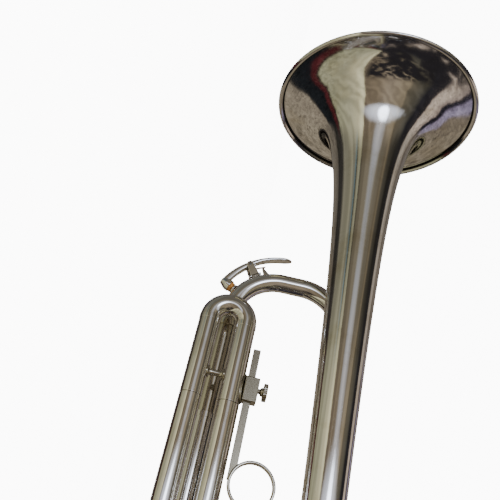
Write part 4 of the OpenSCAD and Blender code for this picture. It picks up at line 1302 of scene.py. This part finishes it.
    def build_floor(self) -> None:
        """Lays a pale floor at the horn's lowest point, lit through like a light table."""
        size, height = self.floor_size / 2, CAD_BOX[0][2] - self.floor_gap
        mesh = bpy.data.meshes.new("studio_floor")
        mesh.from_pydata([(-size, -size, height), (size, -size, height), (size, size, height),
                          (-size, size, height)], [], [(0, 1, 2, 3)])
        floor = bpy.data.objects.new("studio_floor", mesh)
        bpy.context.scene.collection.objects.link(floor)
        sheet = bpy.data.materials.new("floor_opal_acrylic")
        sheet.use_nodes = True
        shader = sheet.node_tree.nodes["Principled BSDF"]
        shader.inputs["Base Color"].default_value = linear("#EFEDE8")
        shader.inputs["Roughness"].default_value = 0.8
        shader.inputs["Emission Color"].default_value = (1, 1, 1, 1)
        shader.inputs["Emission Strength"].default_value = self.floor_glow
        mesh.materials.append(sheet)
        floor.visible_glossy = False
        floor.visible_diffuse = False

    @staticmethod
    def build_lamps() -> None:
        """Hangs two soft lamps that light what isn't metal; the metal doesn't mirror them."""
        for name, place, size, power in (("lamp_left", (0.3, 1.1, 0.9), 0.9, 16.0),
                                         ("lamp_right", (0.2, -1.2, 0.7), 0.9, 7.0)):
            light = bpy.data.lights.new(name, "AREA")
            light.size, light.energy = size, power
            lamp = bpy.data.objects.new(name, light)
            lamp.location = place
            lamp.rotation_mode = "QUATERNION"
            lamp.rotation_quaternion = (Vector((0.25, 0, -0.03)) - Vector(place)).to_track_quat("-Z", "Y")
            lamp.visible_glossy = False
            bpy.context.scene.collection.objects.link(lamp)

    @staticmethod
    def build_camera() -> None:
        """Sets the camera at the player's left, low beside the valves, looking along to the bell."""
        lens, sensor = 43.2, 36.0
        right = Vector((0.23028, 0.03943, 0.97234))
        up = Vector((0.82789, 0.51723, -0.21704))
        back = right.cross(up)
        data = bpy.data.cameras.new("camera")
        data.lens, data.sensor_width = lens, sensor
        data.shift_x, data.shift_y = 0.0781, -0.001
        data.clip_start = 0.01
        camera = bpy.data.objects.new("camera", data)
        turn = Matrix((right, up, back)).transposed().to_4x4()
        camera.matrix_world = Matrix.Translation((0.17906, 0.33318, -0.05695)) @ turn
        bpy.context.scene.collection.objects.link(camera)
        bpy.context.scene.camera = camera

    def build(self) -> None:
        """Builds the whole studio."""
        self.build_room()
        self.build_floor()
        self.build_lamps()
        self.build_camera()


def dress_packed_nodes() -> None:
    """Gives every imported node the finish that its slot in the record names."""
    for part in frame["record"]["subparts"]:
        finish = FINISHES[part["material_slot"]]
        node = frame["nodes"][part["node"]]
        node.data.materials.clear()
        node.data.materials.append(finish.material())


def main() -> None:
    """Builds the studio and the trumpet's sub-assemblies, and reports each piece."""
    logging.basicConfig(level=logging.INFO, format="%(name)s %(message)s")
    Studio().build()
    dress_packed_nodes()
    bell = Bell()
    bell.build()
    slide = TuningSlide()
    slide.build()
    WaterKey(slide.corner, slide.bend_r + slide.bow_r).build()
    ThirdSlide().build()
    FingerRing().build()
    ValveGroup().build()
    Leadpipe().build(bell)
    ShortSlides().build()


if __name__ == "__main__":
    main()
